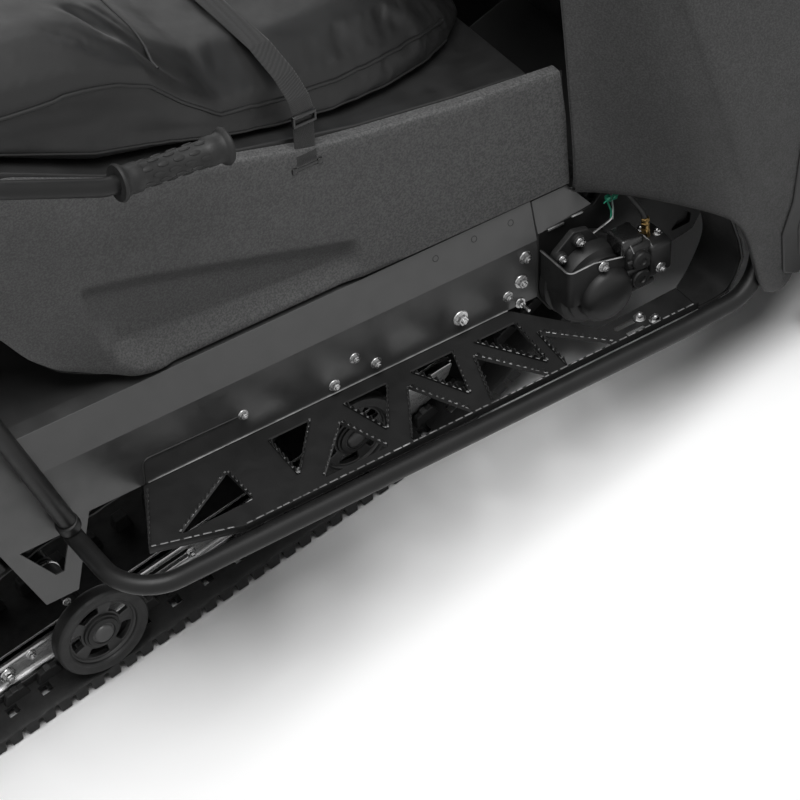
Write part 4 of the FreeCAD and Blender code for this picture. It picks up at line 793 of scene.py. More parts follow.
def make_strap():
    """Webbing over the seat, with its folded end through a flat hook on each side."""
    right = [Vector((0, y, z)) for y, z in STRAP_HALF[:-1]]
    left = [Vector((0, -y, z)) for y, z in reversed(STRAP_HALF[:-1])]
    line = bent(right + left, 16, 6)
    rows = []
    for index, spot in enumerate(line):
        before, after = line[max(0, index - 1)], line[min(len(line) - 1, index + 1)]
        rows.append(strap_row(before, spot, after, 0.35 * math.sin(index * 0.8)))
    band = painted(sheet(rows, 1, close=True), "webbing")
    strap = put("strap_band", band, None, ["seat_strap"], smooth=60)
    middle = Vector((STRAP_X, 0, 0))
    hook = [painted(box(middle + Vector(low), middle + Vector(high), bevel), look)
            for look, bevel, low, high in STRAP_HOOK]
    put_pair("strap_hook", join(hook))


# ------------------------------------------------------------- seat side panels
PANEL_FACE = -261.0
PANEL_BACK = -244.5
PANEL_TOP = ((-1190, 545), (-780, 521), (-656, 462), (-482, 417), (-386, 390), (-314, 377), (-168, 355),
             (-14, 338))
PANEL_LOW = ((-1190, 428), (-1170, 420), (-900, 352), (-816, 303), (-782, 251), (-745, 211), (-693, 179),
             (-653, 164), (-625, 156.5), (-3, 153.5))
UPPER_CREASE = ((-760, 346), (-717, 334), (-618, 309), (-481, 267), (-323, 218), (-3, 172))
LOWER_CREASE = ((-760, 250), (-666, 220), (-557, 203), (-414, 193), (-323, 190), (-200, 172), (-3, 162))
# Where the scoop begins at the rear and where the face turns towards the rear, as (up, along).
SCOOP_REAR = ((150, -600), (170, -626), (211, -671), (259, -697), (315, -710), (345, -716))
REAR_TURN = ((150, -640), (260, -668), (342, -678), (455, -724), (560, -760))


def along_line(line, x):
    """The height of a broken line at x, with its corners eased."""
    for (x0, z0), (x1, z1) in zip(line, line[1:]):
        if x <= x1:
            return z0 + (z1 - z0) * max(0.0, (x - x0) / (x1 - x0))
    return line[-1][1]


def eased(line, x, window=14.0):
    return sum(along_line(line, x + shift * window) for shift in (-1, -0.5, 0, 0.5, 1)) / 5


def ramp(number, start, end):
    share = max(0.0, min(1.0, (number - start) / (end - start)))
    return share * share * (3 - 2 * share)


def panel_relief(x, z, low, lower, upper):
    """How far the face lies in from its flat: a scooped facet over a ledge, and a rear that turns under."""
    reach = ramp(x - along_line(SCOOP_REAR, z), -4, 16) * (1 - ramp(x, -352, -316))
    step, scoop = 9.5, 15.8
    if z >= upper + 4:
        depth = 0.0
    elif z >= lower:
        share = (upper - z) / max(upper - lower, 1)
        depth = step * ramp(upper - z, -4, 24) + (scoop - step) * max(share, 0)
    else:
        depth = 3 + (scoop - 3) * min(1.0, (z - low + 2) / max(lower - low, 1))
    behind = max(0.0, along_line(REAR_TURN, z) - x)
    turned = 9.0 * ramp(behind, 0, 110)
    under = 11.0 * max(0.0, 1 - (z - low) / 140) ** 2 * ramp(behind, 0, 40)
    return min(15.8, depth * reach + turned + under)


def panel_lines(x):
    """The panel's heights at x: lower edge, lower crease, upper crease and upper edge."""
    inside = -1180 < x < -20
    low = eased(PANEL_LOW, x, 8) if inside else along_line(PANEL_LOW, x)
    high = eased(PANEL_TOP, x, 10) if inside else along_line(PANEL_TOP, x)
    if x > -14:
        high = min(high, 338 - (x + 14) * 16.5)
    high = max(high, low + 8)
    upper = min(eased(UPPER_CREASE, x), high - 12)
    lower = max(min(eased(LOWER_CREASE, x), upper - 6), low + 3)
    return low, lower, max(upper, lower + 3), high


def panel_column(x):
    """One upright section of the panel, with its rims turned back to the tunnel."""
    low, lower, upper, high = panel_lines(x)
    facet, top = upper - lower, upper + 4.5
    levels = [low + (lower - low) * part for part in (0, 0.08, 0.3, 0.6, 0.88, 1.0)]
    levels += [lower + facet * part for part in (0.06, 0.2, 0.4, 0.6, 0.72, 0.78)]
    levels += [upper - facet * part for part in (0.16, 0.1, 0.05)] + [upper]
    levels += [top + (high - top) * part
               for part in (0, 0.05, 0.12, 0.24, 0.36, 0.5, 0.64, 0.78, 0.9, 0.97, 1.0)]
    face = [PANEL_FACE + panel_relief(x, z, low, lower, upper) for z in levels]
    rim = 5.0
    column = [(x, PANEL_BACK, low), (x, face[0] + rim, low), (x, face[0] + rim * 0.45, low + 0.9)]
    column += [(x, y, z) for y, z in zip(face[1:-1], levels[1:-1])]
    return column + [(x, face[-1] + rim * 0.3, high - 0.6), (x, face[-1] + rim, high), (x, PANEL_BACK, high)]


def panel_mesh():
    """Columns close together where the face is creased, and wide apart where it is plain."""
    spots = [-1190, -1186, -1182, *range(-1176, -840, 14), *range(-840, -280, 5), *range(-280, -12, 9)]
    return sheet([panel_column(x) for x in spots + [-10, -5, -3]])


def make_seat_sides():
    put_pair("side_cover", panel_mesh(), "side_plastic", ["seat_panel"], smooth=60)
    front = pipe([(x, -254.8, z) for x, z in ((-4.5, 156), (-7, 230), (-11.5, 300), (-13.5, 334))], 1.1, 8)
    put_pair("cover_seam", painted(front, "rubber"))


# -------------------------------------------------------------- front side panels
FLANK_SECTIONS = (
    # x, then (y, z) of the lower edge, the belly, the shoulder and the top edge, in the row frame
    (292, (-258, 318), (-258, 450), (-240, 640), (-198, 755)),
    (332, (-300, 317), (-267, 455), (-244, 670), (-225, 800)),
    (372, (-347, 308), (-320, 460), (-258, 700), (-240, 840)),
    (412, (-412, 301), (-384, 465), (-310, 728), (-255, 870)),
    (434, (-438, 284), (-408, 468), (-332, 736), (-262, 881)),
    (443, (-441, 245), (-420, 455), (-342, 738), (-264, 884)),
    (447, (-441, 150), (-431, 442), (-348, 740), (-266, 886)),
    (458, (-441, 130), (-436, 436), (-354, 742), (-268, 888)),
    (486, (-440, 119), (-440, 430), (-362, 745), (-272, 893)),
    (520, (-439, 174), (-441, 429), (-378, 738), (-275, 888)),
    (610, (-436, 190), (-444, 427), (-396, 722), (-284, 876)),
    (700, (-432, 205), (-445, 425), (-400, 700), (-290, 862)),
    (785, (-420, 330), (-436, 450), (-390, 690), (-288, 830)),
    (822, (-405, 462), (-425, 520), (-382, 675), (-286, 812)),
    (1010, (-332, 496), (-360, 550), (-330, 640), (-255, 722)),
    (1140, (-232, 520), (-258, 560), (-238, 615), (-190, 664)),
    (1190, (-205, 527), (-230, 560), (-212, 610), (-174, 652)),
)


def flank_mesh():
    """The smooth outer panel, cut off square to the tunnel where the seat's panel begins."""
    rows = []
    for x, *points in FLANK_SECTIONS:
        line = [Vector((x, y, z)) for y, z in points]
        tucked = line[0] + Vector((0, 7, 3))
        row = [tucked, line[0]]
        for start, end in zip(line, line[1:]):
            row += [start.lerp(end, 0.33), start.lerp(end, 0.67), end]
        rows.append([tuple(spot) for spot in row])
    mesh = sheet(rows, 2, 4.0)
    low, high = LEAN_MM @ Vector((-1.4, 0, 153.5)), LEAN_MM @ Vector((-12.4, 0, 338))
    seam_spot, way = low, (high - low).cross(Vector((0, -1, 0)))
    work = bmesh.new()
    work.from_mesh(mesh)
    bmesh.ops.bisect_plane(work, geom=work.verts[:] + work.edges[:] + work.faces[:], plane_co=seam_spot,
                           plane_no=way, clear_inner=True)
    work.to_mesh(mesh)
    work.free()
    return mesh


def make_front_panels():
    put_pair("flank", flank_mesh(), "flank_plastic", ["front_panel"], frame_matrix=ROW, smooth=55)
    inset = [(560, 452), (538, 365), (510, 269), (486, 226), (478, 160), (500, 142), (610, 208), (694, 224),
             (696, 412)]
    inset_plate = painted(plate(rounded(inset, 9), [], 439, 8.5, SIDE_PLANE, 2.2, 3), "cover_plastic")
    rib = bent([(506, -447.5, 176), (512, -447.5, 222), (540, -447.5, 268), (560, -447.5, 330)], 20, 6)
    put_pair("flank_inset", join([inset_plate, painted(pipe(rib, 2.2, 12), "cover_plastic")]),
             frame_matrix=ROW)
    stay = pipe([Vector((640, -274, 380)), Vector((640, -436, 380))], 9, 16)
    put_pair("flank_stay", painted(stay, "frame"), frame_matrix=ROW)


# ------------------------------------------------------ front frame and the brake
def make_front_frame():
    outline = [(-61, 0), (-40, -34), (50, -38), (120, -24), (196, -10), (240, 60), (400, 120), (496, 170),
               (496, 320), (300, 300), (60, 150), (30, 112), (-60, 105)]
    window = rounded([(180, 29), (193, 17), (191, 3), (158, 2)], 3)
    # The rubber block just behind the triangular window is painted shade: a dark sheet that makes the opening
    # read dark.
    parts = [painted(plate(rounded(outline, 5), [window], TUNNEL_HALF - 6, 6, SIDE_PLANE, 0.6), "frame"),
             painted(box((156, -TUNNEL_HALF + 7, 0), (196, -TUNNEL_HALF + 9, 32), 0.5), "rubber")]
    fold = ((-272, 105, 32), (-262, 132, 10), (-257.5, 149, -4), (-238, 152.6, -12))
    band = [[(x, y, z) for x in (-60.4, front)] for y, z, front in fold]
    parts.append(painted(sheet(band, 0, 2.5), "tunnel"))
    parts += [bolt((x, -TUNNEL_HALF, z), (0, -1, 0), 5.0) for x, z in ((230, 110), (330, 150), (100, 112))]
    parts.append(painted(box((-46, -274.6, 103), (-20, -272, 107), 0.8), "wear_and_highlight"))
    parts.append(painted(box((-8, -274.6, 107.5), (10, -272, 110), 0.6), "wear_and_highlight"))
    put_pair("frame_side", join(parts))
    cross = box((781, -TUNNEL_HALF + 6, 235), (789, TUNNEL_HALF - 6, 385), 1.5)
    put("frame_cross", cross, "frame", ["front_frame"], frame_matrix=ROW)


DRUM = ((0, 0), (60, 0), (61.5, 3), (61.5, 14), (60, 16), (56.5, 17.5), (56.5, 22), (60, 24), (59.5, 38),
        (57, 43), (52, 45.5), (50, 47), (50, 49.5), (49, 52), (44, 53.5), (40, 55), (39.5, 64), (38, 71),
        (34, 76), (26, 79), (12, 80), (0, 80))
OUTWARD = (0, -1, 0)


def guard_parts():
    """The open box above the drum cover, with a rubbed rim."""
    rear, front, out, top, floor = -59.0, 30.0, -338.0, 79.0, 22.0
    rim = bent([(rear, -276, top), (rear, out, top), (-20, out, top + 1), (front, out, top - 12)], 9, 15)
    rows = [[(spot.x, spot.y, floor + (spot.z - floor) * part) for spot in rim]
            for part in (0, 0.3, 0.9, 0.97, 1.0)]
    return [painted(sheet(rows, 0, 3.0), "cast"),
            painted(pipe([spot + Vector((0, 0.6, 0.2)) for spot in rim], 1.25, 8), "wear_and_highlight"),
            painted(box((rear + 3, out + 3, floor), (front, -276, floor + 10), 2), "cast")]


def make_brake():
    """Ribbed drum cover, open guard box above it, caliper with its pad springs, and the fluid line."""
    parts = [turned(DRUM, 72, "cast", (0, -274, 20), OUTWARD)] + guard_parts()
    ears = [(-60, 58), (-52, 82), (-22, 106), (2, 100), (26, 66), (30, 34), (-44, 34)]
    parts.append(painted(plate(rounded(ears, 7), [], 288, 9, SIDE_PLANE, 1.4, 2), "cast"))
    boss = [(0, 0), (9, 0), (9, 10), (7.5, 12), (0, 12)]
    for x, z in ((-45, 76), (-17, 92), (14, 58)):
        parts.append(turned(boss, 24, "cast", (x, -292, z), OUTWARD))
        parts.append(bolt((x, -304, z), OUTWARD, 4.6))
    parts.append(bolt((-6, -339.5, 70), OUTWARD, 5.4))
    put("brake_case", join(parts + caliper_parts()), None, ["brake_unit"])
    make_brake_line()
    make_sensor_lead()


def caliper_parts():
    parts = [painted(box((30, -346, 6), (70, -300, 80), 7, 3), "cast"),
             painted(box((62, -352, 24), (98, -306, 74), 6, 3), "cast"),
             painted(box((24, -340, 66), (60, -304, 92), 5, 3), "gloss_plastic")]
    for step in range(4):
        low = 12 + step * 15
        parts.append(painted(box((27, -349, low), (72, -344, low + 7), 2), "cast"))
    piston = [(0, 0), (14, 0), (14, 5), (12.5, 7), (6, 7.4), (5, 5.5), (0, 5.5)]
    for z in (60, 30):
        parts.append(turned(piston, 32, "cast", (48, -346, z), OUTWARD))
    for x, z, long in ((34, 88, 13), (52, 84, 15), (64, 82, 10)):
        wire = [(x, -332, z), (x + 3, -340, z - long * 0.4), (x + 3, -348, z - long)]
        parts.append(painted(pipe(wire, 0.9, 8), "wear_and_highlight"))
    bolts = (((78, -352, 36), OUTWARD, 5.2), ((88, -330, 74), (0, 0, 1), 4.6),
             ((70, -318, 80), (0, 0, 1), 3.6), ((98, -330, 38), (1, 0, 0), 4.6))
    return parts + [bolt(spot, way, size) for spot, way, size in bolts]


def make_brake_line():
    """The brass elbow and the hose that goes up from it behind the panel."""
    elbow = bent([(80, -328, 62), (74, -327, 72), (72, -325, 104)], 12, 10)
    rings = [((81.5, -328.3, 59), (-0.5, 0, 0.86), 7.2, 5), ((72.6, -325.2, 80), (0, 0, 1), 6.2, 6),
             ((72, -325, 92), (0, 0, 1), 6.0, 4), ((72, -325, 99), (0, 0, 1), 6.0, 4)]
    parts = [painted(pipe(elbow, 4.6, 20), "brass")]
    for spot, way, radius, tall in rings:
        parts.append(moved(painted(hexagon(radius, tall), "brass"), aim(spot, way)))
    knob = [(0, 0), (5.5, 1), (7.5, 5), (5.5, 9), (0, 10)]
    parts.append(turned(knob, 24, "brass", (84, -330, 56), (0.4, -0.6, 0.5)))
    put("brake_elbow", join(parts))
    hose = bent([(72, -325, 98), (70, -322, 112), (58, -306, 136), (46, -292, 162), (41, -288, 199)], 30, 6)
    put("brake_line", painted(pipe(hose, 4.4, 20), "rubber"), None, ["brake_hose"])


def make_sensor_lead():
    """A thin lead from the brake's case, with two strands and two ties, up to a sleeve behind the panel."""
    lead = bent([(-34, -302, 56), (-20, -300, 72), (4, -294, 84), (34, -290, 88), (46, -290, 92),
                 (47, -288, 106)], 22, 8)
    bits = [painted(pipe(lead, 1.5, 10), "alloy")]
    for shift, look in ((-1.6, "mint"), (1.4, "white_wire")):
        strand = bent([(45 + shift, -289.5, 90), (46 + shift, -289, 104), (43 + shift * 2.4, -288, 120),
                       (40 + shift * 3.4, -288, 132)], 12, 8)
        bits.append(painted(pipe(strand, 1.25, 8), look))
    for x, z in ((38, 128), (48, 126)):
        bits.append(painted(box((x - 3.4, -293, z - 2.6), (x + 3.4, -286, z + 4.4), 1.2), "mint"))
        bits.append(painted(pipe([(x - 8, -291, z - 3.5), (x + 9, -290, z + 2.2)], 0.8, 8), "mint"))
    sleeve = [(43, -288, 126), (42, -282, 150), (40, -276, 196)]
    bits.append(painted(pipe(sleeve, 3.2, 12), "rubber"))
    put("sensor_lead", join(bits))


# ------------------------------------------------------------------- side rails
def make_side_tubes():
    drop = -TUBE + 4
    points = [(-772, -286, drop), (-772, -RAIL_SIDE, drop), (60, -RAIL_SIDE, drop),
              (190, -RAIL_SIDE, drop + 6), (215, -366, 120), (205, -336, 230)]
    tube = painted(pipe(bent(points, 72, 6), TUBE, 28), "frame")
    put_pair("side_tube", tube, None, ["side_rail"])


# ----------------------------------------------------- grab rail and backrest sizes
BACK_FRONT, BACK_REAR, BACK_FOOT = -1110.0, -1188.5, 665.0
BACK_TALL, BACK_HALF, BACK_LEAN = 300.0, 190.0, 0.0563


def strut_parts(side):
    """The strut from the running board's tube up to the grab rail, with its collar and its weld."""
    foot, head = Vector((-774, side * 287, 10)), Vector((-1010, side * 316, 600))
    collar = [(TUBE - 1, 0), (TUBE + 2.4, 0.6), (TUBE + 3, 3), (TUBE + 3, 11), (TUBE + 2.2, 14),
              (TUBE - 1, 15)]
    weld = [(TUBE - 2, -9), (TUBE + 1.4, -8), (TUBE + 2.6, -5), (TUBE + 1.8, -1), (TUBE - 1, 1)]
    return [painted(pipe([foot, head], TUBE, 24), "frame"),
            turned(collar, 36, "frame", foot - Vector((0, 0, 5)), head - foot),
            turned(weld, 36, "frame", head, foot - head)]


def make_grab_rail():
    rear, top, side = -1260, 610, -330
    half = [(-545, side, 509), (-700, side, 523), (-850, side + 4, 588), (-1080, side + 20, top),
            (rear, side + 90, top)]
    route = bent(half + [(x, -y, z) for x, y, z in reversed(half)], 60, 8)
    parts = [painted(pipe(route, 11, 24), "frame")] + strut_parts(-1) + strut_parts(1)
    for y in (-120, 120):
        spots = [Vector((BACK_REAR - BACK_LEAN * (z - BACK_FOOT) - 9, y, z)) for z in (700, 900)]
        parts.append(painted(pipe(bent([(rear, y, top)] + spots, 30, 8), 10, 20), "frame"))
    put("grab_frame", join(parts), None, ["grab_rail"], smooth=50)
    low, high = Vector((-545, side, 509)), Vector((-682, side, 521.4))
    grip = moved(painted(grip_mesh((high - low).length, 15.6, 21.5), "rubber"), aim(low, high - low))
    handles = join([grip, moved(grip.copy(), MIRROR)])
    put("grab_handles", handles, None, ["grab_grips"], smooth=40)


# ------------------------------------------------------------------------ track
GROUND = 28.0
RAIL_CENTRE = 190.0
IDLER_Z = 95.5
REAR_AXLE = (-1375.0, 117.0)
UPPER_AXLE = (-524.0, 232.0)
# (x, z, radius of the belt's inside) of the four wheels that the track goes round.
WHEELS = ((275.1, 197.07, 84.0), (*UPPER_AXLE, 62.0), (*REAR_AXLE, 89.0), (20.0, GROUND + 150, 150.0))


def belt_runs():
    """The straight and round stretches of the belt's inside, as (length, from, to, normal, turn)."""
    normals = []
    for here, there in zip(WHEELS, WHEELS[1:] + WHEELS[:1]):
        across, rise = there[0] - here[0], there[1] - here[1]
        lean = math.acos((here[2] - there[2]) / math.hypot(across, rise))
        normals.append((math.atan2(rise, across) - lean) % (2 * math.pi))
    runs = []
    for index, here in enumerate(WHEELS):
        there = WHEELS[(index + 1) % len(WHEELS)]
        normal = normals[index]
        turn = (normals[(index + 1) % len(WHEELS)] - normal) % (2 * math.pi)
        reach = math.hypot(there[0] - here[0], there[1] - here[1])
        runs.append((math.sqrt(reach ** 2 - (here[2] - there[2]) ** 2), here, there, normal, 0.0))
        runs.append((turn * there[2], there, there, normal, turn))
    return runs


RUNS = belt_runs()
BELT_LONG = sum(run[0] for run in RUNS)
LUG_PITCH = 50.5
PITCHES = round(BELT_LONG / LUG_PITCH)
STEP = BELT_LONG / PITCHES


def belt_matrix(distance):
    """A frame on the belt's inside: X along the belt, Y across, Z outwards."""
    distance %= BELT_LONG
    for length, here, there, normal, turn in RUNS:
        if distance <= length:
            break
        distance -= length
    share = distance / length
    angle = normal + turn * share
    out = Vector((math.cos(angle), 0, math.sin(angle)))
    start, end = (Vector((wheel[0], 0, wheel[1])) + out * wheel[2] for wheel in (here, there))
    spot = start.lerp(end, share)
    along = Vector((0, 1, 0)).cross(out)
    return Matrix(((along.x, 0, out.x, spot.x), (along.y, 1, out.y, 0), (along.z, 0, out.z, spot.z),
                   (0, 0, 0, 1)))


BELT_EDGES = (-250, -246, -227, -211, -170, -120, -60, 0, 60, 120, 170, 211, 227, 246, 250)
WINDOW_COLUMNS = (2, 11)
BELT_THICK = 6.0
PER_PITCH = 6


def belt_filled(index):
    """Which columns of the belt are closed at one step along it: a window is open for two steps in six."""
    columns = range(len(BELT_EDGES) - 1)
    return [not (column in WINDOW_COLUMNS and index % PER_PITCH in (3, 4)) for column in columns]


def belt_row(work, index):
    """The belt's points across at one step along it, in pairs inside and outside."""
    place = belt_matrix(index * STEP / PER_PITCH)
    lift = 0.8 if index % PER_PITCH in (0, 1) else 0.0
    row = []
    for column, y in enumerate(BELT_EDGES):
        at_edge = column in (0, len(BELT_EDGES) - 1)
        grow = math.copysign(1.6 * lift, y) if at_edge else 0
        levels = (2.0 if at_edge else 0, BELT_THICK + lift - (1.5 if at_edge else 0))
        row.append(tuple(work.verts.new(place @ Vector((0, y + grow, level))) for level in levels))
    return row


def belt_faces(work, here, there, solid, before):
    """The faces of one step of the belt, with walls where a window begins or ends."""
    for column, filled in enumerate(solid):
        if filled:
            work.faces.new((here[column][1], there[column][1], there[column + 1][1], here[column + 1][1]))
            work.faces.new((here[column][0], here[column + 1][0], there[column + 1][0], there[column][0]))
        left = solid[column - 1] if column else False
        if filled != left:
            work.faces.new((here[column][0], there[column][0], there[column][1], here[column][1]))
        if filled != before[column]:
            work.faces.new((here[column][0], here[column][1], here[column + 1][1], here[column + 1][0]))
    work.faces.new((here[-1][0], here[-1][1], there[-1][1], there[-1][0]))


def belt_band():
    """The rubber belt with a row of windows beside each slide rail."""
    count = PITCHES * PER_PITCH

    def build(work):
        rows = [belt_row(work, index) for index in range(count)]
        for index in range(count):
            there = rows[(index + 1) % count]
            belt_faces(work, rows[index], there, belt_filled(index), belt_filled(index - 1))
        bmesh.ops.recalc_face_normals(work, faces=work.faces)
    return painted(mesh_from(build), "track")


def tapered(low, high, top, round_off=1.4):
    """A block whose top is drawn in by (along, across)."""
    block = box(low, high, round_off, 1)
    for vert in block.vertices:
        share = (vert.co.z - low[2]) / (high[2] - low[2])
        middle = ((low[0] + high[0]) / 2, (low[1] + high[1]) / 2)
        vert.co.x = middle[0] + (vert.co.x - middle[0]) * (1 - share * top[0])
        vert.co.y = middle[1] + (vert.co.y - middle[1]) * (1 - share * top[1])
    return block


def make_track():
    lugs, guides, clips = [], [], []
    for near, far in ((-207, -176), (-166, -96), (-86, -14), (14, 86), (96, 166), (176, 207)):
        lugs.append(tapered((0, near, 5.4), (14, far, 27.6), (0.3, 0.14)))
    for side in (-1, 1):
        near, far = sorted((side * 201, side * 210))
        guides.append(tapered((-11, near, -17), (15, far, 0.6), (-0.5, 0.0), 1.2))
        guides.append(tapered((-8, side * 60 - 8, -20), (10, side * 60 + 8, 0.6), (-0.5, -0.2), 1.2))
        near, far = sorted((side * 180, side * 200))
        clips.append(box((-9, near, -1.6), (9, far, 0.4), 0.5, 1))
        clips.append(box((-2, side * 205 - 6, -19.5), (6, side * 205 + 4, -16.6), 0.6, 1))
    one = join([painted(join(lugs), "track"), painted(join(guides), "track"), painted(join(clips), "steel")])
    edges = [tapered((-3, near, 5.4), (18, far, 27.0), (0.26, 0.16))
             for near, far in ((-248, -226), (226, 248))]
    edge_pair = painted(join(edges), "track")
    parts = [belt_band()]
    for index in range(PITCHES):
        parts.append(moved(one.copy(), belt_matrix(index * STEP)))
        parts += [moved(edge_pair.copy(), belt_matrix((index + shift) * STEP)) for shift in (0, 0.5)]
    put("track_belt", join(parts), None, ["track"], frame_matrix=ROW, smooth=30)


# ----------------------------------------------------------------------- wheels
def arc_window(near, far, start, end, steps):
    """A rounded slot in a wheel's web between two radii and two angles."""
    angles = [start + (end - start) * step / steps for step in range(steps + 1)]
    ring = [(far * math.cos(a), far * math.sin(a)) for a in angles]
    ring += [(near * math.cos(a), near * math.sin(a)) for a in reversed(angles)]
    return ring


def disc(radius, steps=64):
    return [(radius * math.cos(2 * math.pi * step / steps), radius * math.sin(2 * math.pi * step / steps))
            for step in range(steps)]


def wheel_mesh(radius, cap):
    """A rubber-tyred wheel about +Z with a windowed web, a stepped hub and its bolt on the +Z side."""
    rim, half = radius - 17, 12.0
    tyre = [(rim, -half + 2), (rim + 8, -half), (radius - 3, -half + 0.6), (radius - 0.8, -half + 3),
            (radius, -half + 6), (radius, half - 6), (radius - 0.8, half - 3), (radius - 3, half - 0.6),
            (rim + 8, half), (rim + 5, half - 1.2), (rim + 2.2, half - 0.6), (rim, half - 2),
            (rim - 1, half - 5), (rim - 1, -half + 5), (rim, -half + 2)]
    parts = [painted(lathe(tyre, 72), "tyre")]
    windows = []
    for turn in range(5):
        start = 2 * math.pi * turn / 5
        windows.append(rounded(arc_window(rim * 0.60, rim * 0.88, start + 0.16, start + 0.92, 6), 2.5, 2))
    web = plate(disc(rim + 0.5), windows, -3.5, 7, FLOOR_PLANE, 1.2, 2)
    parts.append(painted(web, "cover_plastic"))
    step = [(rim * 0.92, 3.2), (rim * 0.94, 5.4), (rim * 0.985, 6.6), (rim, 5)]
    parts.append(painted(lathe(step, 64), "cover_plastic"))
    hub = [(9, 9), (15.5, 9), (16.5, 10.5), (21, 10.5), (22.5, 9.5), (23, 7), (26, 6.5), (27, 3), (29, 2.5),
           (29, -3), (24, -8), (9, -9)]
    parts.append(painted(lathe(hub, 56), "cast"))
    nut = [(0, 15.2), (6, 15.0), (11, 13.8), (13.4, 12), (14, 9.5), (15.6, 9.3), (15.8, 8.6)]
    parts.append(painted(lathe(nut, 40), cap))
    return join(parts)


def make_wheels():
    wheel_half, rail_half, play = 12, 8, 1
    outboard = RAIL_CENTRE + rail_half + wheel_half + play
    idler, rear_wheel = 67.0, 88.5
    spots = [(-492, IDLER_Z, outboard + 32, idler)]
    spots += [(x, IDLER_Z, outboard, idler) for x in (-71, -820, -1130)]
    spots += [(*REAR_AXLE, y, rear_wheel) for y in (outboard, 70)]
    spots.append((*UPPER_AXLE, 120, 61.5))
    parts = []
    for side in (-1, 1):
        for x, z, y, radius in spots:
            cap = "cap_grey" if y > outboard else "steel"
            parts.append(moved(wheel_mesh(radius, cap), aim((x, side * y, z), (0, side, 0))))
    put("skid_wheels", join(parts), None, ["track_wheels"], frame_matrix=ROW, smooth=40)


# ------------------------------------------------------------------ slide rails
RAIL_LOW, RAIL_TOP, RAIL_REAR = 40.0, 86.0, REAR_AXLE[0]
# (x, z, size) of the bolts on each rail's outer face.
RAIL_BOLTS = ((-616, 68, 7.5), (-578, 76, 5.2), (-430, 72, 5.2), (-330, 66, 5), (-215, 74, 6), (-795, 66, 7),
              (-150, 76, 7), (-1000, 66, 5), (-1200, 66, 5))


def rail_parts(side):
    """One slide rail: a slotted web between two flanges, thick at the nose and at the tail."""
    low, top, rear = RAIL_LOW, RAIL_TOP, RAIL_REAR
    centre = side * RAIL_CENTRE
    nose = [(15, low), (58, low + 9), (92, low + 30), (104, low + 48), (80, low + 50), (40, top + 4),
            (0, top)]
    tail_low = [(rear - 30, low + 24), (rear + 5, low)]
    tail_high = [(rear + 40, top + 32), (rear - 30, top + 32)]
    slots = [rounded([(x, low + 16), (x + 70, low + 16), (x + 70, low + 32), (x, low + 32)], 7)
             for x in (-1270, -1050, -960, -720, -400, -290, -140)]
    web = plate(tail_low + nose + [(rear + 60, top)] + tail_high, slots, -centre - 4, 8, SIDE_PLANE, 0.8)
    parts = [painted(web, "alloy")]
    for bottom, lid in ((low, low + 8), (top - 8, top)):
        parts.append(painted(box((rear + 62, centre - 8, bottom), (2, centre + 8, lid), 1.6), "alloy"))
    for outline in ([(0, low)] + nose, tail_low + [(rear + 64, low), (rear + 64, top)] + tail_high):
        parts.append(painted(plate(rounded(outline, 4), [], -centre - 8, 16, SIDE_PLANE, 1.2, 2), "alloy"))
    return parts + [bolt((x, centre + side * 8, z), (0, side, 0), size) for x, z, size in RAIL_BOLTS]


def make_slide_rails():
    parts = rail_parts(-1) + rail_parts(1)
    for x, z, half in ((*REAR_AXLE, 232), (-492, IDLER_Z, 252), (-71, IDLER_Z, 215), (-820, IDLER_Z, 215),
                       (-1130, IDLER_Z, 215)):
        shaft = [(0, -half), (8.6, -half), (9.8, -half + 1.2), (9.8, half - 1.2), (8.6, half), (0, half)]
        parts.append(turned(shaft, 28, "steel", (x, 0, z), (0, 1, 0)))
    cross = [(0, -RAIL_CENTRE), (8, -RAIL_CENTRE), (8, RAIL_CENTRE), (0, RAIL_CENTRE)]
    for x in (-795, -150):
        parts.append(turned(cross, 24, "steel", (x, 0, RAIL_TOP - 10), (0, 1, 0)))
    put("skid_rails", join(parts), None, ["slide_rails"], frame_matrix=ROW)


# ------------------------------------------------------------ skid arms, dampers
FRONT_ARM_HEAD = LEAN_MM @ Vector((-270, 0, 20))


def rear_arm_trim(side, y):
    """The bolts and the link plate at the foot of a rear arm."""
    bolts = [bolt((x, side * (y + 11), z), (0, side, 0), size)
             for x, z, size in ((-488, 122, 5), (-512, 150, 4))]
    link = rounded([(-506, 88), (-478, 88), (-470, 118), (-484, 132), (-504, 128)], 8)
    return bolts + [painted(plate(link, [], (y + 8) if side < 0 else -(y + 12), 4, SIDE_PLANE, 0.8), "frame")]


def arm_parts(side, head, foot, y, radius):
    """A tube from its collar on the cross shaft to its foot, with the shaft's rubber end and ring."""
    start, end = head + Vector((0, side * y, 0)), foot + Vector((0, side * y, 0))
    short = (start - end).normalized() * 10
    collar = [(11, -13), (15, -13), (16, -12), (16, 12), (15, 13), (11, 13)]
    rubber_end = [(0, 40), (15, 40), (17.5, 37), (18, 6), (15, 0), (0, 0)]
    ring = [(17.6, 0), (19, 0.8), (19, 2.8), (17.6, 3.6)]
    outward = (0, side, 0)
    return [painted(pipe([start, end + short], radius, 24), "frame"),
            turned(collar, 32, "frame", start, (0, 1, 0)),
            turned(rubber_end, 36, "rubber", head + Vector((0, side * 226, 0)), outward),
            turned(ring, 36, "zinc", head + Vector((0, side * 232, 0)), outward)]


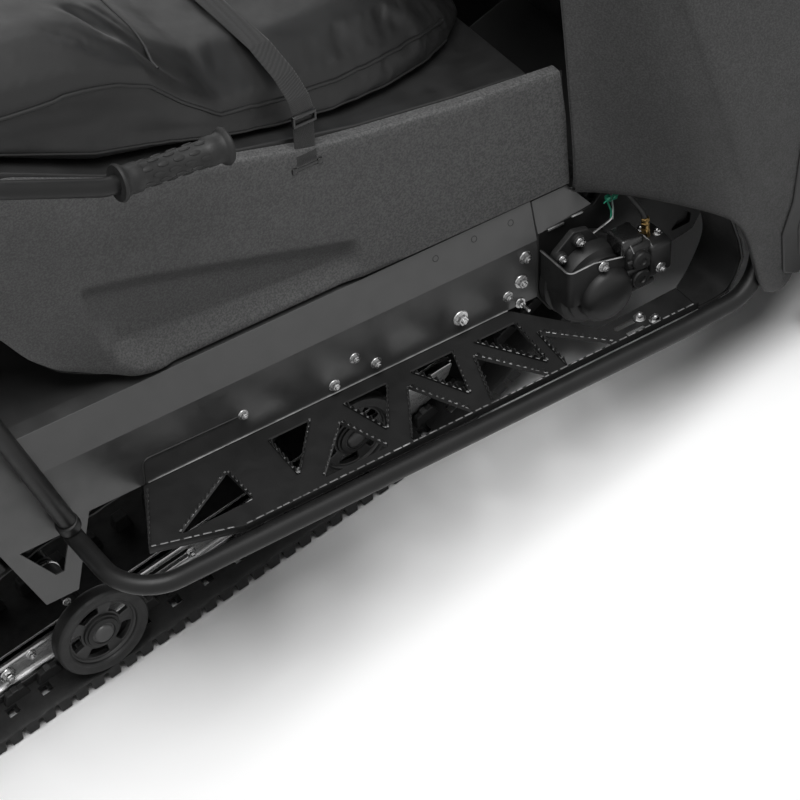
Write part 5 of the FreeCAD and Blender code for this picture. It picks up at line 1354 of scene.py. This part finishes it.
def make_skid_arms():
    rear_head, rear_foot = (Vector((x, 0, z)) for x, z in (UPPER_AXLE, (-492, IDLER_Z)))
    front_foot = Vector((-190, 0, 98))
    sets = ((rear_head, rear_foot, 209.5, 11), (FRONT_ARM_HEAD, front_foot, 150, 14))
    parts = []
    shaft_half = 269.0
    shaft = [(0, -shaft_half), (9.8, -shaft_half), (9.8, shaft_half), (0, shaft_half)]
    for head, foot, y, radius in sets:
        for side in (-1, 1):
            parts += arm_parts(side, head, foot, y, radius)
            if head is rear_head:
                parts += rear_arm_trim(side, y)
        parts.append(turned(shaft, 28, "steel", head, (0, 1, 0)))
    cross = [(0, -RAIL_CENTRE), (12, -RAIL_CENTRE), (12, RAIL_CENTRE), (0, RAIL_CENTRE)]
    parts.append(turned(cross, 28, "frame", front_foot, (0, 1, 0)))
    put("skid_arm_set", join(parts), None, ["skid_arms"], frame_matrix=ROW)


def damper(start, end, radius, wire, turns):
    """A gas damper inside its coil: body, rod, spring seats and spring."""
    start, end = Vector(start), Vector(end)
    long = (end - start).length
    body = [(0, 6), (10, 6), (14, 16), (14, 24), (19, 26), (19, long * 0.52), (17, long * 0.53),
            (6.5, long * 0.54), (6.5, long - 18), (10, long - 12), (10, long - 4), (0, long - 4)]
    parts = [painted(lathe(body, 32), "steel")]
    for low, high in ((30, 36), (long - 46, long - 40)):
        parts.append(painted(lathe([(7, low), (radius, low), (radius + 1, low + 1.5),
                                    (radius + 1, high - 1), (radius, high), (7, high)], 40), "cast"))
    spring = coil((0, 0, 36 + wire), (0, 0, long - 46 - wire), radius - wire - 0.5, wire, turns)
    parts.append(painted(spring, "frame"))
    return moved(join(parts), aim(start, end - start))


def make_skid_dampers():
    x, _, z = FRONT_ARM_HEAD
    parts = []
    for foot, head, radius in (((-795, 0, 76), (UPPER_AXLE[0], 0, UPPER_AXLE[1]), 30),
                               ((-150, 0, 76), (x, 0, z), 26)):
        foot, head = Vector(foot), Vector(head)
        way = (head - foot).normalized()
        parts.append(damper(foot + way * 7, head - way * 9, radius, 4.0, 9))
        for spot, hole in ((foot, 8), (head, 9.8)):
            eye = [(hole, -13), (hole + 7, -13), (hole + 8, -11), (hole + 8, 11), (hole + 7, 13), (hole, 13)]
            parts.append(turned(eye, 32, "steel", spot, (0, 1, 0)))
    put("skid_damper_set", join(parts), None, ["skid_shocks"], frame_matrix=ROW)


def kingpin(along):
    """A point on the right-hand kingpin, along it from the ski's pivot."""
    lean = math.radians(20)
    return Vector((1000 - along * math.sin(lean), -490, 105 + along * math.cos(lean)))


def arm_side(height):
    """How far out the bulkhead's side is at a height, with the arms' bosses."""
    share = (height - 215) / (440 - 215)
    return FRAME_LOW_HALF + (FRAME_HIGH_HALF - FRAME_LOW_HALF) * share + BOSS + 0.4


def make_ski_dampers():
    low_feet = [Vector((x, -arm_side(238), 238)) for x in (872, 1026)]
    hub = kingpin(110)
    bars = [foot * 0.55 + hub * 0.45 for foot in low_feet]
    middle, head = (bars[0] + bars[1]) / 2, Vector((905, -196, 590))
    foot = middle + (head - middle).normalized() * 26
    one = damper(foot, head, 26, 4.0, 9)
    put("ski_damper_set", join([one, moved(one.copy(), MIRROR)]), None, ["ski_shocks"], frame_matrix=ROW)


# ------------------------------------------------------------ seat and backrest
CLOTH_FRAMES = 20


def remeshed(mesh, voxel):
    """An object with an even grid over a closed form."""
    obj = bpy.data.objects.new("soft", mesh)
    bpy.context.scene.collection.objects.link(obj)
    grid = obj.modifiers.new("grid", "REMESH")
    grid.mode = "VOXEL"
    grid.voxel_size = voxel
    grid.use_smooth_shade = True
    base = bpy.data.meshes.new_from_object(obj.evaluated_get(bpy.context.evaluated_depsgraph_get()))
    obj.modifiers.clear()
    obj.data = base
    return obj


def add_cloth(obj, held, pressure):
    """Cloth under pressure, with the points of the held indices pinned."""
    group = obj.vertex_groups.new(name="held")
    group.add(held, 1.0, "REPLACE")
    cloth = obj.modifiers.new("cloth", "CLOTH")
    settings = cloth.settings
    settings.use_pressure = True
    settings.uniform_pressure_force = pressure
    settings.effector_weights.gravity = 0
    settings.vertex_group_mass = "held"
    settings.quality = 4
    settings.tension_stiffness = 18
    settings.bending_stiffness = 0.8
    cloth.collision_settings.use_collision = False
    cloth.point_cache.frame_start, cloth.point_cache.frame_end = 1, CLOTH_FRAMES


def swollen(mesh, voxel, pressure, cap, resting):
    """Remeshes a closed form and lets cloth pressure round it; points that rest on something stay put."""
    obj = remeshed(mesh, voxel)
    before = [vert.co.copy() for vert in obj.data.vertices]
    add_cloth(obj, [index for index, spot in enumerate(before) if resting(spot)], pressure)
    for step in range(1, CLOTH_FRAMES + 1):
        bpy.context.scene.frame_set(step)
    after = bpy.data.meshes.new_from_object(obj.evaluated_get(bpy.context.evaluated_depsgraph_get()))
    bpy.context.scene.frame_set(1)
    for vert, start in zip(after.vertices, before):
        move = vert.co - start
        if move.length > cap:
            vert.co = start + move * (cap / move.length)
    bpy.data.objects.remove(obj)
    return after


SEAT_SECTIONS = (
    # along, half width, bottom, edge height, crown height
    (-66, 112, 352, 384, 402), (-110, 152, 355, 398, 424), (-168, 184, 362, 413, 446),
    (-240, 206, 372, 421, 456), (-314, 219, 384, 429, 464), (-400, 227, 402, 444, 476),
    (-480, 230, 424, 461, 492), (-530, 230, 437, 500, 528), (-570, 230, 448, 540, 580),
    (-612, 230, 458, 560, 602), (-656, 230, 469, 572, 615), (-720, 230, 500, 580, 626),
    (-780, 230, 531, 586, 634), (-960, 226, 544, 590, 638), (-1144, 219, 556, 595, 643),
)


def seat_ring(along, half, bottom, edge, crown):
    """Half of one section from the middle underneath to the middle on top, and its mirror image."""
    rise = edge - bottom
    right = [(0, bottom), (half * 0.6, bottom), (half - 12, bottom + 1), (half - 3, bottom + 0.12 * rise),
             (half, bottom + 0.4 * rise), (half + 1, bottom + 0.62 * rise), (half - 5, edge - 0.12 * rise),
             (half - 2, edge), (half - 14, edge + 0.5 * (crown - edge)), (half - 46, crown - 6),
             (half - 92, crown), (half * 0.32, crown - 3), (0, crown - 1)]
    return [(along, y, z) for y, z in right] + [(along, -y, z) for y, z in reversed(right[1:-1])]


def seat_solid():
    """The seat before it swells, closed at both ends."""
    def build(work):
        rings = [[work.verts.new(point) for point in seat_ring(*section)] for section in SEAT_SECTIONS]
        bridged(work, rings)
        for ring in (rings[0], rings[-1]):
            middle = work.verts.new(sum((vert.co for vert in ring), Vector()) / len(ring))
            for column in range(len(ring)):
                work.faces.new((ring[column], ring[(column + 1) % len(ring)], middle))
        bmesh.ops.recalc_face_normals(work, faces=work.faces)
    return mesh_from(build)


def piping(mesh, points, radius):
    """A sewn bead that lies on a surface along the points, less than half of it proud."""
    work = bmesh.new()
    work.from_mesh(mesh)
    tree = BVHTree.FromBMesh(work)
    route = []
    for spot in points:
        place, normal, _, _ = tree.find_nearest(Vector(spot))
        if place is not None:
            route.append(place + normal * radius * 0.3)
    work.free()
    return painted(pipe(route, radius, 12), "vinyl")


def dense(points, step=12.0):
    """More points along a broken line."""
    route = []
    for start, end in zip(points, points[1:]):
        start, end = Vector(start), Vector(end)
        count = max(1, int((end - start).length / step))
        route += [start.lerp(end, part / count) for part in range(count)]
    return route + [Vector(points[-1])]


def rests_on_box(place):
    """Whether a point in the chassis frame is near enough to the seat's bottom to stay on the seat box."""
    for (x0, _, b0, _, _), (x1, _, b1, _, _) in zip(SEAT_SECTIONS, SEAT_SECTIONS[1:]):
        if x1 <= place.x <= x0:
            bottom = b0 + (b1 - b0) * (place.x - x0) / (x1 - x0)
            return place.z < bottom + 8.4
    return False


def foam_mesh(solid, voxel, cap, rests):
    """A solid drawn in the chassis frame, swollen by pressure and smoothed."""
    back = LEAN.inverted()
    foam = modified(swollen(moved(solid, LEAN), voxel, 4.0, cap, lambda spot: rests(back @ spot)), 1)
    foam.transform(back)
    return foam


def make_seat():
    foam = foam_mesh(seat_solid(), 0.0075, 0.009, rests_on_box)
    parts = [painted(foam, "vinyl")]
    for side in (-1, 1):
        upper, lower = [], []
        for along, half, bottom, edge, _ in SEAT_SECTIONS[1:-1]:
            upper.append((along, side * (half + 4), edge - 0.02 * (edge - bottom)))
            lower.append((along, side * (half + 4), bottom + 0.16 * (edge - bottom)))
        parts.append(piping(foam, dense(upper), 2.6))
        parts.append(piping(foam, dense(lower), 1.7))
    across = [(-520, y, 560) for y in range(-200, 201, 20)]
    parts.append(piping(foam, across, 2.4))
    seat = put("seat_cushion", join(parts), None, ["seat"], smooth=80)


def backrest_ring(level):
    """The backrest's section with soft corners, at a level from 0 at its foot to 1 at its top."""
    z = BACK_FOOT + 5 + (BACK_TALL - 10) * level
    front, back = BACK_FRONT - 50 * level, BACK_REAR - BACK_LEAN * BACK_TALL * level
    edge = 1 - 0.28 * (2 * abs(level - 0.5)) ** 6
    middle, reach = (front + back) / 2, (front - back) / 2 - 6
    ring = []
    for turn in range(28):
        angle = 2 * math.pi * turn / 28
        c, s = math.cos(angle), math.sin(angle)
        y = (BACK_HALF - 7) * math.copysign(abs(s) ** 0.35, s) * edge
        depth = math.copysign(abs(c) ** 0.45, c)
        ring.append((middle + reach * depth * (0.72 + 0.28 * edge), y, z))
    return ring


def backrest_solid():
    """The backrest before it swells, closed at both ends."""
    def build(work):
        levels = (0, 0.04, 0.12, 0.3, 0.5, 0.7, 0.88, 0.96, 1.0)
        rings = [[work.verts.new(point) for point in backrest_ring(level)] for level in levels]
        bridged(work, rings)
        work.faces.new(rings[-1])
        work.faces.new(list(reversed(rings[0])))
        bmesh.ops.recalc_face_normals(work, faces=work.faces)
    return mesh_from(build)


def make_backrest():
    foam = foam_mesh(backrest_solid(), 0.006, 0.008, lambda place: place.x < BACK_REAR - 2)
    rim = bent([(-1128, -160, 700), (-1128, 160, 700), (-1165, 160, 930), (-1165, -160, 930),
                (-1128, -160, 700)], 40, 10)
    parts = [painted(foam, "vinyl"), piping(foam, dense(rim, 10), 2.2)]
    cushion = put("backrest_cushion", join(parts), None, ["backrest"], smooth=80)


# ------------------------------------------------------------------- bodywork
HOOD_SECTIONS = ((486, 262, 896, 150, 932), (590, 271, 884, 156, 922), (700, 280, 868, 160, 905),
                 (860, 275, 798, 160, 842), (1010, 245, 728, 140, 770), (1140, 182, 668, 110, 702),
                 (1195, 166, 660, 104, 682))
CONSOLE_SECTIONS = ((302, 196, 762, 120, 790), (372, 232, 842, 140, 868), (432, 254, 882, 150, 908),
                    (486, 262, 896, 150, 932))


def crowned_skin(sections, thick):
    """A lid with a raised middle, through (x, half width, edge height, half crown, crown height)."""
    rows = []
    for x, half, low, half_crown, crown in sections:
        right = [(half, low - 3), (half, low), (half * 0.86 + half_crown * 0.14,
                                                low + 0.35 * (crown - low)),
                 (half_crown * 1.12, crown - 2.5), (half_crown, crown), (half_crown * 0.55, crown - 1),
                 (0, crown)]
        row = [(x, -y, z) for y, z in right] + [(x, y, z) for y, z in reversed(right[:-1])]
        rows.append(row)
    return sheet(rows, 2, thick)


def make_hood():
    hood = painted(crowned_skin(HOOD_SECTIONS, 4.0), "body_plastic")
    parts = [hood]
    for side in (-1, 1):
        for row in range(4):
            x = 760 + row * 46
            low, high = side * 178, side * 236
            drop = (x - 700) / 160 * 66
            slat = [Vector((x, low, 906 - drop)), Vector((x - 16, high, 886 - drop))]
            parts.append(painted(pipe(slat, 5.0, 12), "gloss_plastic"))
    put("hood_lid", join(parts), None, ["hood"], frame_matrix=ROW, smooth=50)


def make_console():
    mesh = crowned_skin(CONSOLE_SECTIONS, 4.0)
    dial = [(0, 0), (44, 0), (47, 3), (47, 9), (44, 12), (40, 11), (38, 8), (0, 7.5)]
    parts = [painted(mesh, "body_plastic"),
             turned(dial, 64, "gloss_plastic", (455, 0, 912), (-0.35, 0, 0.94))]
    boot = [(0, 30), (15, 30), (17, 26), (21, 24), (20, 20), (26, 17), (25, 12), (32, 9), (31, 4), (39, 0),
            (44, -2)]
    parts.append(turned(boot, 40, "rubber", (349, 0, 815), (-0.454, 0, 0.891)))
    put("console_lid", join(parts), None, ["dash_console"], frame_matrix=ROW, smooth=50)


def make_bar_grips():
    parts = []
    for side in (-1, 1):
        end, inner = Vector((137.6, side * 365, 1086.6)), Vector((187.6, side * 150, 1100.6))
        way = (inner - end).normalized()
        grip = grip_mesh(118, 14.6, 19.0)
        parts.append(moved(painted(grip, "rubber"), aim(end, way)))
        cap = lathe([(0, -4), (13, -4), (15, -2), (15, 2), (11.2, 3)], 32)
        parts.append(moved(painted(cap, "rubber"), aim(end, way)))
    put("bar_grip_pair", join(parts), None, ["bar_grips"], "steering", ROW, 40)


# ------------------------------------------------------------------------ stage
def aimed_camera():
    """The three-quarter view from above and behind the right-hand side."""
    spot = Vector((-1.1180, -2.8944, 3.3310))
    way = Vector((0.25912, 0.61697, -0.74310)).normalized()
    level_up = (Vector((0, 0, 1)) - way * way.z).normalized()
    level_right = way.cross(level_up)
    roll = math.radians(16.765)
    up = math.cos(roll) * level_up + math.sin(roll) * level_right
    right = way.cross(up)
    camera = bpy.data.objects.new("camera", bpy.data.cameras.new("camera"))
    bpy.context.scene.collection.objects.link(camera)
    camera.matrix_world = Matrix(((right.x, up.x, -way.x, spot.x), (right.y, up.y, -way.y, spot.y),
                                  (right.z, up.z, -way.z, spot.z), (0, 0, 0, 1)))
    camera.data.lens = 148.5
    camera.data.sensor_width = 36
    camera.data.clip_end = 100
    bpy.context.scene.camera = camera


def area_light(name, spot, target, size, power):
    light = bpy.data.lights.new(name, "AREA")
    light.shape = "RECTANGLE"
    light.size, light.size_y = size
    light.energy = power
    lamp = bpy.data.objects.new(name, light)
    bpy.context.scene.collection.objects.link(lamp)
    spot, target = Vector(spot), Vector(target)
    lamp.location = spot
    lamp.rotation_euler = (target - spot).to_track_quat("-Z", "Y").to_euler()


def sun_light(name, way, angle, strength):
    """A broad soft light from far off, as wide as angle in degrees."""
    light = bpy.data.lights.new(name, "SUN")
    light.angle = math.radians(angle)
    light.energy = strength
    lamp = bpy.data.objects.new(name, light)
    bpy.context.scene.collection.objects.link(lamp)
    lamp.rotation_euler = Vector(way).to_track_quat("Z", "Y").to_euler()


# The grey level at which the floor throws light back on the object.
FLOOR_BOUNCE = 80


def seen_directly(tree):
    """1 for rays from the eye, also by way of a mirror or through glass, and 0 for soft bounces."""
    path = tree.nodes.new("ShaderNodeLightPath")
    total = path.outputs["Is Camera Ray"]
    for name in ("Is Glossy Ray", "Is Transmission Ray"):
        larger = tree.nodes.new("ShaderNodeMath")
        larger.operation = "MAXIMUM"
        tree.links.new(total, larger.inputs[0])
        tree.links.new(path.outputs[name], larger.inputs[1])
        total = larger.outputs["Value"]
    return total


def white_floor():
    """A floor that looks white and takes the shadow, and throws little light back on the object."""
    mesh = bpy.data.meshes.new("floor")
    reach = 14.0
    mesh.from_pydata([(-reach, -reach, 0), (reach, -reach, 0), (reach, reach, 0), (-reach, reach, 0)], [],
                     [(0, 1, 2, 3)])
    floor = bpy.data.objects.new("floor", mesh)
    bpy.context.scene.collection.objects.link(floor)
    s = Shader("floor", 250, 0.9)
    s.blend_colour(s.noise(0.8, 2), 249, 252)
    s.set(Specular_IOR_Level=0.0)
    dull = s.add("ShaderNodeBsdfDiffuse")
    dull.inputs["Color"].default_value = linear(FLOOR_BOUNCE)
    mix = s.add("ShaderNodeMixShader")
    s.link(seen_directly(s.tree), mix.inputs["Fac"])
    s.link(dull.outputs["BSDF"], mix.inputs[1])
    s.link(s.bsdf.outputs["BSDF"], mix.inputs[2])
    s.link(mix.outputs["Shader"], s.tree.nodes["Material Output"].inputs["Surface"])
    mesh.materials.append(s.material)


def sky():
    """White where the camera sees it, and soft grey light on everything else."""
    world = bpy.data.worlds.new("studio")
    bpy.context.scene.world = world
    world.use_nodes = True
    tree = world.node_tree
    tree.nodes.clear()
    output = tree.nodes.new("ShaderNodeOutputWorld")
    seen, felt, mix = (tree.nodes.new(kind) for kind in
                       ("ShaderNodeBackground", "ShaderNodeBackground", "ShaderNodeMixShader"))
    felt.inputs["Color"].default_value = (1, 1, 1, 1)
    felt.inputs["Strength"].default_value = 0.1
    seen.inputs["Color"].default_value = (1, 1, 1, 1)
    seen.inputs["Strength"].default_value = 1.0
    tree.links.new(seen_directly(tree), mix.inputs["Fac"])
    tree.links.new(felt.outputs["Background"], mix.inputs[1])
    tree.links.new(seen.outputs["Background"], mix.inputs[2])
    tree.links.new(mix.outputs["Shader"], output.inputs["Surface"])


# ------------------------------------------------------------------- the scene
make_running_boards()
make_tunnel_trim()
make_strap()
make_seat_sides()
make_front_panels()
make_front_frame()
make_brake()
make_side_tubes()
make_grab_rail()
make_track()
make_wheels()
make_slide_rails()
make_skid_arms()
make_skid_dampers()
make_ski_dampers()
make_seat()
make_backrest()
make_hood()
make_console()
make_bar_grips()
dress_rest()
aimed_camera()
sun_light("key", (0.04, -0.19, 1.0), 44, 3.1)
area_light("back", (2.6, 3.0, 3.2), (0, 0, 0.4), (3.0, 1.6), 25)
sky()
white_floor()
bpy.context.scene.view_settings.view_transform = "Standard"
